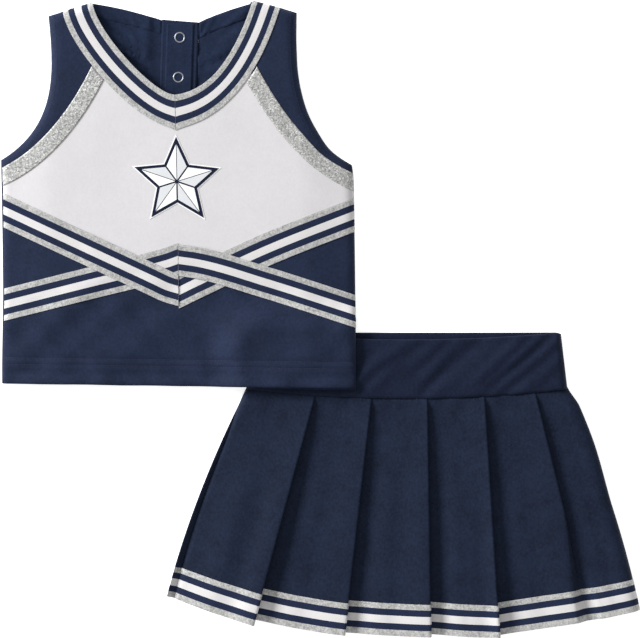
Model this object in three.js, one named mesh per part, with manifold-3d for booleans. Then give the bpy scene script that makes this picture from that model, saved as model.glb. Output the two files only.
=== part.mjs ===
// A child's two-piece cheer uniform laid flat: a sleeveless crop top, and a knife-pleated skirt whose
// waistband runs under the top's lower right corner. Millimetres, +Z up, +Y towards the neckline. The
// origin is under the middle of the whole set, on the surface that it lies on.

import * as THREE from 'three';
import { mergeVertices } from 'three/addons/utils/BufferGeometryUtils.js';
import Module from 'manifold-3d';

const wasm = await Module();
wasm.setup();

// ------------------------------------------------------------------ driving dimensions

const gap = 0.3;                 // clearance between neighbouring solids
const cloth = 1.0;               // one layer of body cloth
const braidWidth = 27.5;         // the five-stripe braid, used at the neck, the bands and the skirt hem
const braidThickness = 0.7;
const seamWidth = 2.5;           // the overlocked seams at the sides, shoulders and waistband ends

const top = {
  halfWidth: 154,                // centre to side seam
  length: 336.4,                 // hem to neck point
  armholeDepth: 141,             // neck point down to the underarm
  shoulderHalf: 108.6,           // centre to shoulder tip
  shoulderDrop: 11.4,
  neckHalf: 69,
  frontNeckDepth: 80.6,          // neck point down to the bottom of the V
  backNeckDepth: 17,
  room: 6.2,                     // open height between the back cloth and the front cloth
};
const lay = { lean: 6.5, tilt: 2.1 };      // how the laid top leans to the left and drops to the right

const glitter = { width: 14.3, start: 60.4, end: 15.3, thickness: 0.6 };
const vBand = { sideHeight: 150.9, tipHeight: 83.6 };       // braid centre line, measured from the hem
const peakBand = { sideHeight: 68.7, tipHeight: 110.8 };
const emblem = { radius: 37, border: 4.5, height: 179, waist: 0.45, thickness: 0.6 };

const placket = { width: 32, length: 97, lean: 0.068, centre: 0 };
const snap = {
  count: 3, pitch: 34.8, first: 14.3, ringRadius: 4.6, ringWidth: 1.05, ringHeight: 0.5,
  socketRadius: 3.2, wall: 0.7, studRadius: 2.0, studBody: 2.9, studReach: 0.7,
};

const skirt = {
  right: 199,                    // skirt centre, to the right of the top's centre
  below: 8.8,                    // skirt seam height, below the top's hem
  waistHalf: 140,
  waistTopHalf: 134.5,
  waistHeight: 55.3,
  waistDip: 6,                   // the front edge of the waistband dips below the back edge
  seamSag: 2,
  seamRise: 8.5,
  hemHalf: 203,
  hemSpread: 7,                  // the back layer shows past the front at the left of the hem
  length: 211.5,
  hemRise: 31,
  hemTilt: 5,
  sideBulge: 5.5,
  room: 4.3,                     // least open height between the back cloth and the front pleats
  lap: 10,                       // how far each pleat runs under its neighbour
  hingeGap: 1.2,                 // between the waistband and the top of the pleats
};
const foldAtWaist = [-0.571, -0.221, 0.125, 0.481, 0.794];  // fold places, as shares of the half width
const foldAtHem = [-0.662, -0.271, 0.099, 0.395, 0.788];
const elastic = { thickness: 0.7, margin: 5 };
const ramp = { length: 34, margin: 4 };    // where the top climbs onto the waistband

// ------------------------------------------------------------------ materials

const finish = (color, roughness, metalness = 0) => ({ color, roughness, metalness });
const navyCloth = finish(0x283050, 0.7);
const whiteCloth = finish(0xe5e4e5, 0.85);
const stripedBraid = finish(0xc3c7c8, 0.6);
const glitterCloth = finish(0xb4b6b4, 0.45, 0.3);
const navyThread = finish(0x1d2440, 0.9);
const whiteInk = finish(0xf4f4f4, 0.8);
const elasticWeb = finish(0xf0efea, 0.9);
const snapMetal = finish(0xc8ccd2, 0.3, 1);

// ------------------------------------------------------------------ geometry helpers

const V = (x, y) => new THREE.Vector2(x, y);
const bend = (a, b, c, steps) => new THREE.QuadraticBezierCurve(a, b, c).getPoints(steps);
const mirrored = (points) => points.map((p) => V(-p.x, p.y)).reverse();

/** Points moved sideways by a distance, to the left of the way they run. */
function offset(points, distance) {
  return points.map((p, i) => {
    const before = points[Math.max(i - 1, 0)];
    const after = points[Math.min(i + 1, points.length - 1)];
    const way = after.clone().sub(before).normalize();
    return V(p.x - way.y * distance, p.y + way.x * distance);
  });
}

/** The same points with both ends run on straight by a distance. */
function extended(points, distance) {
  const n = points.length;
  const first = points[0].clone().sub(points[1]).setLength(distance).add(points[0]);
  const last = points[n - 1].clone().sub(points[n - 2]).setLength(distance).add(points[n - 1]);
  return [first, ...points, last];
}

/** The outline of a strip of even width along a line of points. */
const strip = (points, width) => [...offset(points, width / 2), ...offset(points, -width / 2).reverse()];

/** A closed three.js geometry as a solid that can be cut and joined. */
function solid(geometry) {
  const bare = geometry.clone();
  bare.deleteAttribute('normal');
  bare.deleteAttribute('uv');
  const merged = mergeVertices(bare, 1e-5);
  const mesh = new wasm.Mesh({
    numProp: 3,
    vertProperties: new Float32Array(merged.attributes.position.array),
    triVerts: new Uint32Array(merged.index.array),
  });
  return new wasm.Manifold(mesh);
}

/** An outline pulled up from one height to another. */
function prism(points, low, high) {
  const shape = new THREE.Shape(points);
  const geometry = new THREE.ExtrudeGeometry(shape, { depth: high - low, bevelEnabled: false });
  return solid(geometry.translate(0, 0, low));
}

function block(x0, x1, y0, y1, z0, z1) {
  const geometry = new THREE.BoxGeometry(x1 - x0, y1 - y0, z1 - z0);
  return solid(geometry.translate((x0 + x1) / 2, (y0 + y1) / 2, (z0 + z1) / 2));
}

/** A solid back as a three.js geometry, with its points moved by an optional function. */
function geometryOf(body, move = (p) => p) {
  const mesh = body.getMesh();
  const geometry = new THREE.BufferGeometry();
  const points = [];
  for (let i = 0; i < mesh.vertProperties.length; i += 3) {
    points.push(move(new THREE.Vector3().fromArray(mesh.vertProperties, i)));
  }
  geometry.setFromPoints(points);
  geometry.setIndex([...mesh.triVerts]);
  geometry.computeVertexNormals();
  return geometry;
}

const group = new THREE.Group();
const topGroup = new THREE.Group();
const skirtGroup = new THREE.Group();
skirtGroup.position.set(skirt.right, -skirt.below, 0);
group.add(topGroup, skirtGroup);

function place(parent, name, geometry, material) {
  const mesh = new THREE.Mesh(geometry, new THREE.MeshStandardMaterial(material));
  mesh.name = name;
  parent.add(mesh);
  return mesh;
}

// ------------------------------------------------------------------ heights

const waistRoomTop = cloth + gap + elastic.thickness + skirt.room;   // top of the open waist
const waistFront = waistRoomTop + elastic.thickness + gap;           // underside of the front band
const waistTop = waistFront + cloth;
const climb = waistTop + gap;                    // how far the top rises where it lies on the skirt
const frontLow = cloth + top.room;               // underside of the top's front cloth
const frontHigh = frontLow + cloth;
const reach = 400;                               // larger than the garment, for cutting solids
const sky = frontHigh + climb + 30;

/** Everything under the surface at a height over the laid top, which climbs onto the waistband. */
function under(height) {
  const waistLeft = skirt.right - skirt.waistHalf - ramp.margin;
  const waistUpper = skirt.waistHeight - skirt.below + ramp.margin;
  const floor = -20;
  const alongX = new THREE.Shape([
    V(-reach, floor), V(reach, floor), V(reach, height + climb), V(waistLeft, height + climb),
    V(waistLeft - ramp.length, height), V(-reach, height),
  ]);
  const alongY = new THREE.Shape([
    V(-reach, floor), V(reach, floor), V(reach, height), V(waistUpper + ramp.length, height),
    V(waistUpper, height + climb), V(-reach, height + climb),
  ]);
  const settings = { depth: 2 * reach, bevelEnabled: false };
  const wedgeX = new THREE.ExtrudeGeometry(alongX, settings).rotateX(Math.PI / 2).translate(0, reach, 0);
  const wedgeY = new THREE.ExtrudeGeometry(alongY, settings).rotateX(Math.PI / 2).rotateZ(Math.PI / 2);
  return solid(wedgeX).intersect(solid(wedgeY.translate(-reach, 0, 0)));
}

/** Moves a point of the top from its symmetrical pattern to where it lies. */
function laid(p) {
  const up = p.y / top.length;
  const turn = THREE.MathUtils.clamp((p.y - 200) / 125, 0, 1) * Math.PI;
  const drop = (lay.tilt * Math.cos(turn) * p.x) / top.halfWidth;
  return new THREE.Vector3(p.x - lay.lean * up * up, p.y - drop, p.z);
}

const layers = new Map();
function layer(low, high) {
  const key = `${low}_${high}`;
  if (!layers.has(key)) layers.set(key, under(high).subtract(under(low)));
  return layers.get(key);
}

/** One piece of the top: a full-height solid cut to its layer, then laid. */
function topPiece(name, body, low, high, material) {
  return place(topGroup, name, geometryOf(body.intersect(layer(low, high)), laid), material);
}

// ------------------------------------------------------------------ outlines of the top

const underarm = top.length - top.armholeDepth;
const shoulderTip = V(top.shoulderHalf, top.length - top.shoulderDrop);
const neckPoint = V(top.neckHalf, top.length);
const vPoint = V(0, top.length - top.frontNeckDepth);
const armhole = new THREE.CubicBezierCurve(
  V(top.halfWidth, underarm),
  V(top.shoulderHalf - 4.6, underarm + 0.235 * (shoulderTip.y - underarm)),
  V(top.shoulderHalf - 3.1, underarm + 0.614 * (shoulderTip.y - underarm)),
  shoulderTip,
).getPoints(12);
const neckBend = V(0.775 * top.neckHalf, vPoint.y + 0.325 * top.frontNeckDepth);
const frontNeck = bend(neckPoint, neckBend, vPoint, 12);
const backNeckLow = top.length - top.backNeckDepth;
const backNeck = bend(neckPoint, V(0.29 * top.neckHalf, backNeckLow), V(0, backNeckLow), 8);

/** Hem, side, armhole, shoulder and neck of one layer of the top. */
function bodice(neck) {
  const right = [V(top.halfWidth, 0), ...armhole, ...neck];
  return [...right, ...mirrored(right.filter((p) => p.x > 0))];
}
const front = prism(bodice(frontNeck), -10, sky);
const back = prism(bodice(backNeck), -10, sky);
const halfPlane = { left: block(-reach, -gap / 2, -reach, reach, -10, sky) };
halfPlane.right = block(gap / 2, reach, -reach, reach, -10, sky);

/** A right-hand outline, or its mirror image for the left-hand piece. */
const sided = (side, points) => (side === 'right' ? points : mirrored(points));
const sides = ['left', 'right'];

// the V and peak bands, drawn for the right side from the centre outwards
const vLine = extended([V(0, vBand.tipHeight), V(top.halfWidth, vBand.sideHeight)], 30);
const peakLine = extended([V(0, peakBand.tipHeight), V(top.halfWidth, peakBand.sideHeight)], 30);

// the seam under each glitter strip, from the neckline braid out to the side
const seamStart = V(0.875 * top.neckHalf + 5, top.length - glitter.start);
const seamEnd = V(top.halfWidth, underarm - glitter.end);
const seamBend = V(
  seamStart.x + 0.42 * (seamEnd.x - seamStart.x),
  seamEnd.y + 0.235 * (seamStart.y - seamEnd.y),
);
const raglan = extended(bend(seamStart, seamBend, seamEnd, 12), 40);

// ------------------------------------------------------------------ the top: cloth

/** The part of the front outside one raglan seam. */
function shoulderRegion(side, inset) {
  const seam = offset(raglan, inset);
  const far = [V(reach, seam[seam.length - 1].y), V(reach, reach), V(seam[0].x, reach)];
  return prism(sided(side, [...seam, ...far]), -10, sky);
}

/** The part of the front under the V band's centre line. */
function underV(inset) {
  const tip = V(0, vBand.tipHeight - inset);
  const slope = (vBand.sideHeight - vBand.tipHeight) / top.halfWidth;
  const edge = V(reach, tip.y + slope * reach);
  return prism([tip, V(-reach, edge.y), V(-reach, -reach), V(reach, -reach), edge], -10, sky);
}

const chest = sides.reduce((body, side) => body.subtract(shoulderRegion(side, -gap / 2)), front)
  .subtract(underV(-gap / 2));
topPiece('chest_panel', chest, frontLow, frontHigh, whiteCloth);
topPiece('lower_front_panel', front.intersect(underV(gap / 2)), frontLow, frontHigh, navyCloth);
for (const side of sides) {
  const panel = front.intersect(shoulderRegion(side, gap / 2)).intersect(halfPlane[side]);
  topPiece(`shoulder_panel_${side}`, panel, frontLow, frontHigh, navyCloth);
}

const trimLow = frontHigh + gap;
const trimHigh = trimLow + braidThickness;
const neckRun = offset(extended(frontNeck, 30), braidWidth / 2);
const neckBand = sides.reduce((all, side) => {
  const half = prism(sided(side, strip(neckRun, braidWidth + 2 * gap)), -10, sky);
  return all ? all.add(half.intersect(halfPlane[side])) : half.intersect(halfPlane[side]);
}, null);
for (const side of sides) {
  const braid = prism(sided(side, strip(neckRun, braidWidth)), -10, sky);
  const clipped = braid.intersect(front).intersect(halfPlane[side]);
  topPiece(`neckline_braid_${side}`, clipped, trimLow, trimHigh, stripedBraid);

  const band = prism(sided(side, strip(raglan, glitter.width)), -10, sky);
  const cut = band.intersect(front).intersect(halfPlane[side]).subtract(neckBand);
  topPiece(`glitter_strip_${side}`, cut, trimLow, trimLow + glitter.thickness, glitterCloth);
}

// the V band passes over the peak band on the left, and under it on the right
for (const side of sides) {
  const upper = trimHigh + gap;
  const vLow = side === 'left' ? upper : trimLow;
  const peakLow = side === 'left' ? trimLow : upper;
  const vCut = prism(sided(side, strip(vLine, braidWidth)), -10, sky).intersect(halfPlane[side]);
  const peakCut = prism(sided(side, strip(peakLine, braidWidth)), -10, sky).intersect(halfPlane[side]);
  topPiece(`v_band_${side}`, vCut.intersect(front), vLow, vLow + braidThickness, stripedBraid);
  topPiece(`peak_band_${side}`, peakCut.intersect(front), peakLow, peakLow + braidThickness, stripedBraid);
}

/** A five-pointed star with one point up. */
function star(radius) {
  return Array.from({ length: 10 }, (_, i) => {
    const r = i % 2 ? radius * emblem.waist : radius;
    const turn = Math.PI / 2 + (i * Math.PI) / 5;
    return V(r * Math.cos(turn), emblem.height + r * Math.sin(turn));
  });
}
const starHigh = trimLow + emblem.thickness;
topPiece('emblem_backing', prism(star(emblem.radius), -10, sky), trimLow, starHigh, navyCloth);
const inner = star(emblem.radius - 2 * emblem.border);
topPiece('emblem_star', prism(inner, -10, sky), starHigh + gap, starHigh + gap + emblem.thickness, whiteInk);

// ------------------------------------------------------------------ the top: back, placket and snaps

const placketTop = backNeckLow - gap;
const placketEnd = placketTop - placket.length;
const placketX = (y) => placket.centre + placket.lean * (y - placketEnd);
const placketEdge = (y, side) => V(placketX(y) + (side * placket.width) / 2, y);
const snapSpots = Array.from({ length: snap.count }, (_, i) => {
  const y = placketTop - snap.first - i * snap.pitch;
  return V(placketX(y), y);
});

/** A turned solid from its profile of radius and height pairs. */
function turned(profile) {
  const points = profile.map(([r, z]) => V(r, z));
  return solid(new THREE.LatheGeometry([...points, points[0]], 20).rotateX(Math.PI / 2));
}
const disc = (radius, low, high) => turned([[0, low], [radius, low], [radius, high], [0, high]]);

const ringInside = snap.ringRadius - snap.ringWidth;
const ring = (low) => turned([
  [ringInside, low], [snap.ringRadius, low],
  [snap.ringRadius, low + snap.ringHeight], [ringInside, low + snap.ringHeight],
]);

let backCloth = back;
const slit = [placketEdge(placketEnd, 1), placketEdge(top.length, 1)];
backCloth = backCloth.subtract(prism(strip(slit, gap), -10, sky));
for (const spot of snapSpots) {
  backCloth = backCloth.subtract(disc(snap.ringRadius + gap, -10, sky).translate([spot.x, spot.y, 0]));
}
topPiece('back_panel', backCloth, 0, cloth, navyCloth);

const flapLow = cloth + gap;
const flapHigh = flapLow + cloth;
const flapOutline = [
  placketEdge(placketEnd, -1), placketEdge(placketEnd, 1), placketEdge(placketTop, 1), placketEdge(placketTop, -1),
];
let flap = prism(flapOutline, -10, sky);
for (const spot of snapSpots) {
  flap = flap.subtract(disc(snap.studBody + gap, -10, sky).translate([spot.x, spot.y, 0]));
}
topPiece('placket_flap', flap, flapLow, flapHigh, navyCloth);

snapSpots.forEach((spot, i) => {
  const at = laid(new THREE.Vector3(spot.x, spot.y, 0));
  const { socketRadius, wall, studRadius, studBody, studReach } = snap;
  const cup = turned([
    [0, 0], [socketRadius, 0], [socketRadius, cloth], [socketRadius - wall, cloth],
    [socketRadius - wall, gap], [0, gap],
  ]);
  const stud = turned([
    [0, flapLow - studReach], [studRadius, flapLow - studReach], [studRadius, flapLow],
    [studBody, flapLow], [studBody, flapHigh], [0, flapHigh],
  ]);
  const parts = {
    snap_outer_ring: ring(0), snap_socket: cup, snap_stud: stud, snap_inner_ring: ring(flapHigh + gap),
  };
  for (const [name, body] of Object.entries(parts)) {
    const mesh = place(topGroup, `${name}_${i + 1}`, geometryOf(body), snapMetal);
    mesh.position.set(at.x, at.y, 0);
  }
});

for (const side of sides) {
  const edge = [V(top.halfWidth - seamWidth / 2, 0), V(top.halfWidth - seamWidth / 2, underarm)];
  const wall = prism(sided(side, strip(edge, seamWidth)), -10, sky).intersect(front);
  topPiece(`side_seam_${side}`, wall, cloth + gap, frontLow - gap, navyThread);
  const slope = offset(extended([shoulderTip, neckPoint], 5), seamWidth / 2);
  const shoulder = prism(sided(side, strip(slope, seamWidth)), -10, sky).intersect(front);
  topPiece(`shoulder_seam_${side}`, shoulder, cloth + gap, frontLow - gap, navyThread);
}

// ------------------------------------------------------------------ the skirt: outlines

const seamY = (x) => -skirt.seamSag + skirt.seamRise * (x / skirt.waistHalf) ** 2;
const hemY = (x) => {
  const share = x / skirt.hemHalf;
  return -skirt.length + skirt.hemRise * Math.abs(share) ** 2.5 - skirt.hemTilt * share;
};
const waistEdgeY = (x) => skirt.waistHeight - skirt.waistDip * (1 - (x / skirt.waistHalf) ** 2);

/** Points on a curve y(x) from one x to another. */
function along(curve, from, to, steps) {
  return Array.from({ length: steps + 1 }, (_, i) => {
    const x = from + ((to - from) * i) / steps;
    return V(x, curve(x));
  });
}

/** The side edge of the skirt from the waist seam down to the hem. */
function sideEdge(side, spread = 0) {
  const waist = V(side * skirt.waistHalf, seamY(skirt.waistHalf));
  const hem = V(side * (skirt.hemHalf + spread), hemY(side * skirt.hemHalf));
  const middle = waist.clone().add(hem).multiplyScalar(0.5);
  return bend(waist, middle.add(V(side * 2 * skirt.sideBulge, 0)), hem, 8);
}

/** The fold line with a number, from waist to hem, moved sideways by a distance. */
function foldLine(i, shift = 0) {
  const waistX = foldAtWaist[i] * skirt.waistHalf;
  const hemX = foldAtHem[i] * skirt.hemHalf;
  return [V(waistX + shift, seamY(waistX)), V(hemX + shift, hemY(hemX))];
}

function skirtPiece(name, body, material, move) {
  return place(skirtGroup, name, geometryOf(body, move), material);
}

// ------------------------------------------------------------------ the skirt: waistband

/** The waistband's outline between two curves, drawn in by a margin. */
function bandOutline(lower, upper, margin) {
  const bottom = skirt.waistHalf - margin;
  const topHalf = skirt.waistTopHalf - margin;
  return [
    ...along((x) => lower(x) + margin, -bottom, bottom, 10),
    ...along((x) => upper(x) - margin, topHalf, -topHalf, 10),
  ];
}
const backEdgeY = () => skirt.waistHeight;
const backBand = bandOutline(seamY, backEdgeY, gap / 2);
const frontBand = bandOutline(seamY, waistEdgeY, gap / 2);
skirtPiece('waistband_back', prism(backBand, 0, cloth), navyCloth);
skirtPiece('waistband_front', prism(frontBand, waistFront, waistTop), navyCloth);
const webBack = bandOutline(seamY, backEdgeY, elastic.margin);
const webFront = bandOutline(seamY, waistEdgeY, elastic.margin);
const webLow = cloth + gap;
skirtPiece('waist_elastic_back', prism(webBack, webLow, webLow + elastic.thickness), elasticWeb);
skirtPiece('waist_elastic_front', prism(webFront, waistRoomTop, waistRoomTop + elastic.thickness), elasticWeb);
for (const side of sides) {
  const sign = side === 'left' ? -1 : 1;
  const end = sign * (skirt.waistHalf - seamWidth);
  const endTop = sign * (skirt.waistTopHalf - seamWidth);
  const line = [V(end, seamY(end) + gap), V(endTop, waistEdgeY(endTop) - gap)];
  const wall = prism(strip(line, seamWidth), cloth + gap, waistFront - gap);
  skirtPiece(`waistband_seam_${side}`, wall, navyThread);
}

// ------------------------------------------------------------------ the skirt: back layer and pleats

const hemBand = braidWidth + gap / 2;
const wideHem = skirt.hemHalf + 30;
const hemRegion = prism([
  ...along((x) => hemY(x) + hemBand - gap / 2, -wideHem, wideHem, 24),
  V(wideHem, -reach), V(-wideHem, -reach),
], -10, sky);
const clothRegion = prism([
  ...along((x) => hemY(x) + hemBand + gap / 2, wideHem, -wideHem, 24),
  V(-wideHem, reach), V(wideHem, reach),
], -10, sky);

const backOutline = [
  ...sideEdge(-1, skirt.hemSpread),
  ...along(hemY, -skirt.hemHalf, skirt.hemHalf, 12),
  ...sideEdge(1).reverse(),
  ...along((x) => seamY(x) - gap / 2, skirt.waistHalf, -skirt.waistHalf, 8),
];
const backLayer = prism(backOutline, 0, cloth);
skirtPiece('skirt_back_panel', backLayer.intersect(clothRegion), navyCloth);
skirtPiece('back_hem_braid', backLayer.intersect(hemRegion), stripedBraid);

const pleatCount = foldAtWaist.length + 1;
const pleatStep = cloth + gap + 0.05;            // height that each pleat needs to clear its neighbour
const spans = Array.from({ length: pleatCount }, (_, i) => {
  const left = i === 0 ? -1 : foldAtWaist[i - 1];
  const right = i === pleatCount - 1 ? 1 : foldAtWaist[i];
  const hemLeft = i === 0 ? -1 : foldAtHem[i - 1];
  const hemRight = i === pleatCount - 1 ? 1 : foldAtHem[i];
  return { waist: (right - left) * skirt.waistHalf, hem: (hemRight - hemLeft) * skirt.hemHalf };
});
const fall = (span) => (pleatStep * (span.hem + skirt.lap)) / span.waist;
const foldLow = cloth + skirt.room + Math.max(...spans.map(fall));    // underside of cloth at each fold

for (let i = 0; i < pleatCount; i += 1) {
  const last = i === pleatCount - 1;
  const leftEdge = i === 0 ? sideEdge(-1) : foldLine(i - 1, -skirt.lap);
  const rightEdge = last ? sideEdge(1) : foldLine(i);
  const hemFrom = leftEdge[leftEdge.length - 1].x;
  const hemTo = rightEdge[rightEdge.length - 1].x;
  const outline = [
    ...leftEdge.slice(1, -1),
    ...along(hemY, hemFrom, hemTo, 6),
    ...rightEdge.slice(1, -1).reverse(),
    ...along((x) => seamY(x) - skirt.hingeGap, rightEdge[0].x, leftEdge[0].x, 4),
  ];
  const hinge = rightEdge[0];
  const way = rightEdge[rightEdge.length - 1].clone().sub(hinge).normalize();
  const slope = pleatStep / (spans[i].waist * Math.abs(way.y));
  const tilted = (p) => {
    const inwards = (p.x - hinge.x) * way.y - (p.y - hinge.y) * way.x;
    return new THREE.Vector3(p.x, p.y, p.z + foldLow - slope * inwards);
  };
  const body = prism(outline, 0, cloth);
  skirtPiece(`front_pleat_${i + 1}`, body.intersect(clothRegion), navyCloth, tilted);
  skirtPiece(`front_hem_braid_${i + 1}`, body.intersect(hemRegion), stripedBraid, tilted);
}

for (const side of sides) {
  const edge = sideEdge(side === 'left' ? -1 : 1).slice(1);
  const run = offset(edge, side === 'left' ? seamWidth : -seamWidth);
  const wall = prism(strip(run, seamWidth), cloth + gap, cloth + skirt.room - 1);
  skirtPiece(`skirt_side_seam_${side}`, wall, navyThread);
}

// ------------------------------------------------------------------ frame

const box = new THREE.Box3().setFromObject(group, true);
const middle = box.getCenter(new THREE.Vector3());
group.position.set(-middle.x, -middle.y, -box.min.z);

export default group;
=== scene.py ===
"""A child's cheer uniform laid flat: a striped crop top whose corner lies on a knife-pleated skirt.

Lengths are in millimetres while the cloth is being drawn, and become metres when a piece is made. The top
is drawn on its own symmetrical pattern (x from the centre line, y up from the hem) and then laid where the
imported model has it. The skirt is drawn from the middle of its waist seam.
"""

import logging
import math
from collections.abc import Callable, Sequence
from dataclasses import dataclass, field
from enum import Enum

import bpy
import numpy as np
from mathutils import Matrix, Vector, geometry, noise


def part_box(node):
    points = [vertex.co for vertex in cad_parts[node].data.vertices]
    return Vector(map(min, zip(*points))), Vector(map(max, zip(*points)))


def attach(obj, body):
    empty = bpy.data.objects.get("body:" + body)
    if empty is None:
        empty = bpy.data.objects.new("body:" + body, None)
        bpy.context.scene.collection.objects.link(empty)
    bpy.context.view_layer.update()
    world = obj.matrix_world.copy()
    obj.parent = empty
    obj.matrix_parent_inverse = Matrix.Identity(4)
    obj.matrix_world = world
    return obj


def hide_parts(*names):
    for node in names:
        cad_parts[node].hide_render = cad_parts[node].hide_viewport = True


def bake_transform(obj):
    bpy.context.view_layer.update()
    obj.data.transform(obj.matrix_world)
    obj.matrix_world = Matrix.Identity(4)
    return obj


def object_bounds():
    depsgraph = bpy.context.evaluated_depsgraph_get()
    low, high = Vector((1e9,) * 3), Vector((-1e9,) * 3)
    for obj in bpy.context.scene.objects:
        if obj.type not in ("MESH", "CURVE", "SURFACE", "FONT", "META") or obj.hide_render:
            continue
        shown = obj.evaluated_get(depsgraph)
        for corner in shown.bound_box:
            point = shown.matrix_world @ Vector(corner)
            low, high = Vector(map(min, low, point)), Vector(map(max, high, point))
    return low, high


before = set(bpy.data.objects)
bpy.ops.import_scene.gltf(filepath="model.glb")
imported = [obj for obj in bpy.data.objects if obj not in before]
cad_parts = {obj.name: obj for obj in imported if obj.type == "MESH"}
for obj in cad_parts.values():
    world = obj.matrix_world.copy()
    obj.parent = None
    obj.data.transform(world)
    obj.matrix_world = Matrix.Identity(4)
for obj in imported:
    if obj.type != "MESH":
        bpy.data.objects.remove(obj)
CAD_BOX = [list(corner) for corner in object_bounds()]

LOG = logging.getLogger("cheer_uniform")
MM = 0.001
Array = np.ndarray
Socket = bpy.types.NodeSocket
Pair = tuple[float, float]
Triple = tuple[float, float, float]


# ---------------- lines and heights


def smooth(share: Array | float) -> Array:
    """Eases from 0 to 1 as the share goes from 0 to 1."""
    t = np.clip(share, 0.0, 1.0)
    return t * t * (3 - 2 * t)


def rolled(distance: Array | float, radius: float) -> Array:
    """Height share of cloth rolled over an edge: 0 at the edge, 1 from one radius inwards."""
    away = 1 - np.clip(np.asarray(distance, float) / radius, 0.0, 1.0)
    return np.sqrt(np.clip(1 - away * away, 0.0, 1.0))


def ripple(points: Array, across: float, along: float, turn: float = 0.0, seed: float = 0.0) -> Array:
    """Soft uneven waves over a surface.

    Args:
        points: x and y of each point.
        across: length of a wave across its crest.
        along: length of a crest.
        turn: direction of the crests, in degrees from the y axis.
        seed: picks one of many patterns.

    Returns:
        One value for each point, roughly from -0.7 to 0.7.
    """
    c, s = math.cos(math.radians(turn)), math.sin(math.radians(turn))
    flat = np.asarray(points, float).reshape(-1, 2)
    u = (flat[:, 0] * c + flat[:, 1] * s) / across
    v = (-flat[:, 0] * s + flat[:, 1] * c) / along
    values = [noise.noise(Vector((a, b, seed))) for a, b in zip(u, v)]
    return np.array(values).reshape(np.asarray(points).shape[:-1])


def bezier(controls: Sequence[Sequence[float]], count: int) -> Array:
    """A Bezier curve.

    Args:
        controls: its control points.
        count: number of points wanted.

    Returns:
        Points along the curve.
    """
    t = np.linspace(0, 1, count)[:, None]
    level = [np.asarray(c, float)[None, :] * np.ones((count, 1)) for c in controls]
    while len(level) > 1:
        level = [a * (1 - t) + b * t for a, b in zip(level, level[1:])]
    return level[0]


def through(knots: Sequence[Sequence[float]], count: int) -> Array:
    """A smooth line through knots, without overshoot.

    Args:
        knots: x and y of each knot, with x growing.
        count: number of points wanted.

    Returns:
        Points along the line.
    """
    x, y = np.array(knots, float).T
    step, slope = np.diff(x), np.diff(y) / np.diff(x)
    turn = np.zeros_like(x)
    turn[0], turn[-1] = slope[0], slope[-1]
    for i in range(1, len(x) - 1):
        if slope[i - 1] * slope[i] > 0:
            turn[i] = 2 / (1 / slope[i - 1] + 1 / slope[i])
    at = np.linspace(x[0], x[-1], count)
    k = np.clip(np.searchsorted(x, at, side="right") - 1, 0, len(x) - 2)
    t, h = (at - x[k]) / step[k], step[k]
    value = (
        (1 + 2 * t) * (1 - t) ** 2 * y[k]
        + t * (1 - t) ** 2 * h * turn[k]
        + t * t * (3 - 2 * t) * y[k + 1]
        + t * t * (t - 1) * h * turn[k + 1]
    )
    return np.stack([at, value], axis=1)


def way_gone(line: Array) -> Array:
    """How far along a line each of its points lies."""
    return np.concatenate([[0], np.cumsum(np.linalg.norm(np.diff(line, axis=0), axis=1))])


def evened(line: Array, count: int) -> Array:
    """The same line with its points evenly spaced."""
    line = np.asarray(line, float)
    run = way_gone(line)
    at = np.linspace(0, run[-1], count)
    return np.stack([np.interp(at, run, line[:, k]) for k in range(line.shape[1])], axis=1)


def length_of(line: Array) -> float:
    """Length of a line of points."""
    return float(np.linalg.norm(np.diff(np.asarray(line, float), axis=0), axis=1).sum())


def offset(line: Array, distance: float) -> Array:
    """The line moved sideways, to the left of the way it runs."""
    way = np.gradient(line, axis=0)
    way /= np.linalg.norm(way, axis=1)[:, None]
    return line + distance * np.stack([-way[:, 1], way[:, 0]], axis=1)


def run_on(line: Array, distance: float) -> Array:
    """The line with both ends run on straight by a distance."""
    first, last = line[0] - line[1], line[-1] - line[-2]
    first *= distance / np.linalg.norm(first)
    last *= distance / np.linalg.norm(last)
    return np.vstack([line[0] + first, line, line[-1] + last])


def trimmed(line: Array, keep: Callable[[Array], Array]) -> Array:
    """The longest stretch of a line on which a measure is positive.

    Args:
        line: points of the line.
        keep: gives a signed measure for each point, positive where the line stays.

    Returns:
        The stretch, cut exactly where the measure is zero.
    """
    fine = evened(line, 600)
    good = keep(fine) > 0
    edges = np.flatnonzero(np.diff(np.concatenate([[0], good.astype(int), [0]])))
    starts, ends = edges[::2], edges[1::2]
    longest = int(np.argmax(ends - starts))
    return fine[starts[longest] : ends[longest]]


def side_of(points: Array, line: Array) -> Array:
    """Distance to a line, on which side.

    Args:
        points: x and y of each point.
        line: points of the line.

    Returns:
        The distance of each point, positive to the left of the way that the line runs.
    """
    flat = np.asarray(points, float).reshape(-1, 2)
    best, sign = np.full(len(flat), 1e9), np.ones(len(flat))
    for a, b in zip(line[:-1], line[1:]):
        way = b - a
        t = np.clip(((flat - a) @ way) / max(float(way @ way), 1e-12), 0, 1)
        off = flat - a - t[:, None] * way
        gap = np.linalg.norm(off, axis=1)
        nearer = gap < best
        best = np.where(nearer, gap, best)
        turn = way[0] * (flat[:, 1] - a[1]) - way[1] * (flat[:, 0] - a[0])
        sign = np.where(nearer, np.where(turn >= 0, 1.0, -1.0), sign)
    return (best * sign).reshape(np.asarray(points).shape[:-1])


def distance_to(points: Array, line: Array) -> Array:
    """Distance from each point to the nearest place on a line."""
    return np.abs(side_of(points, line))


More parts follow.
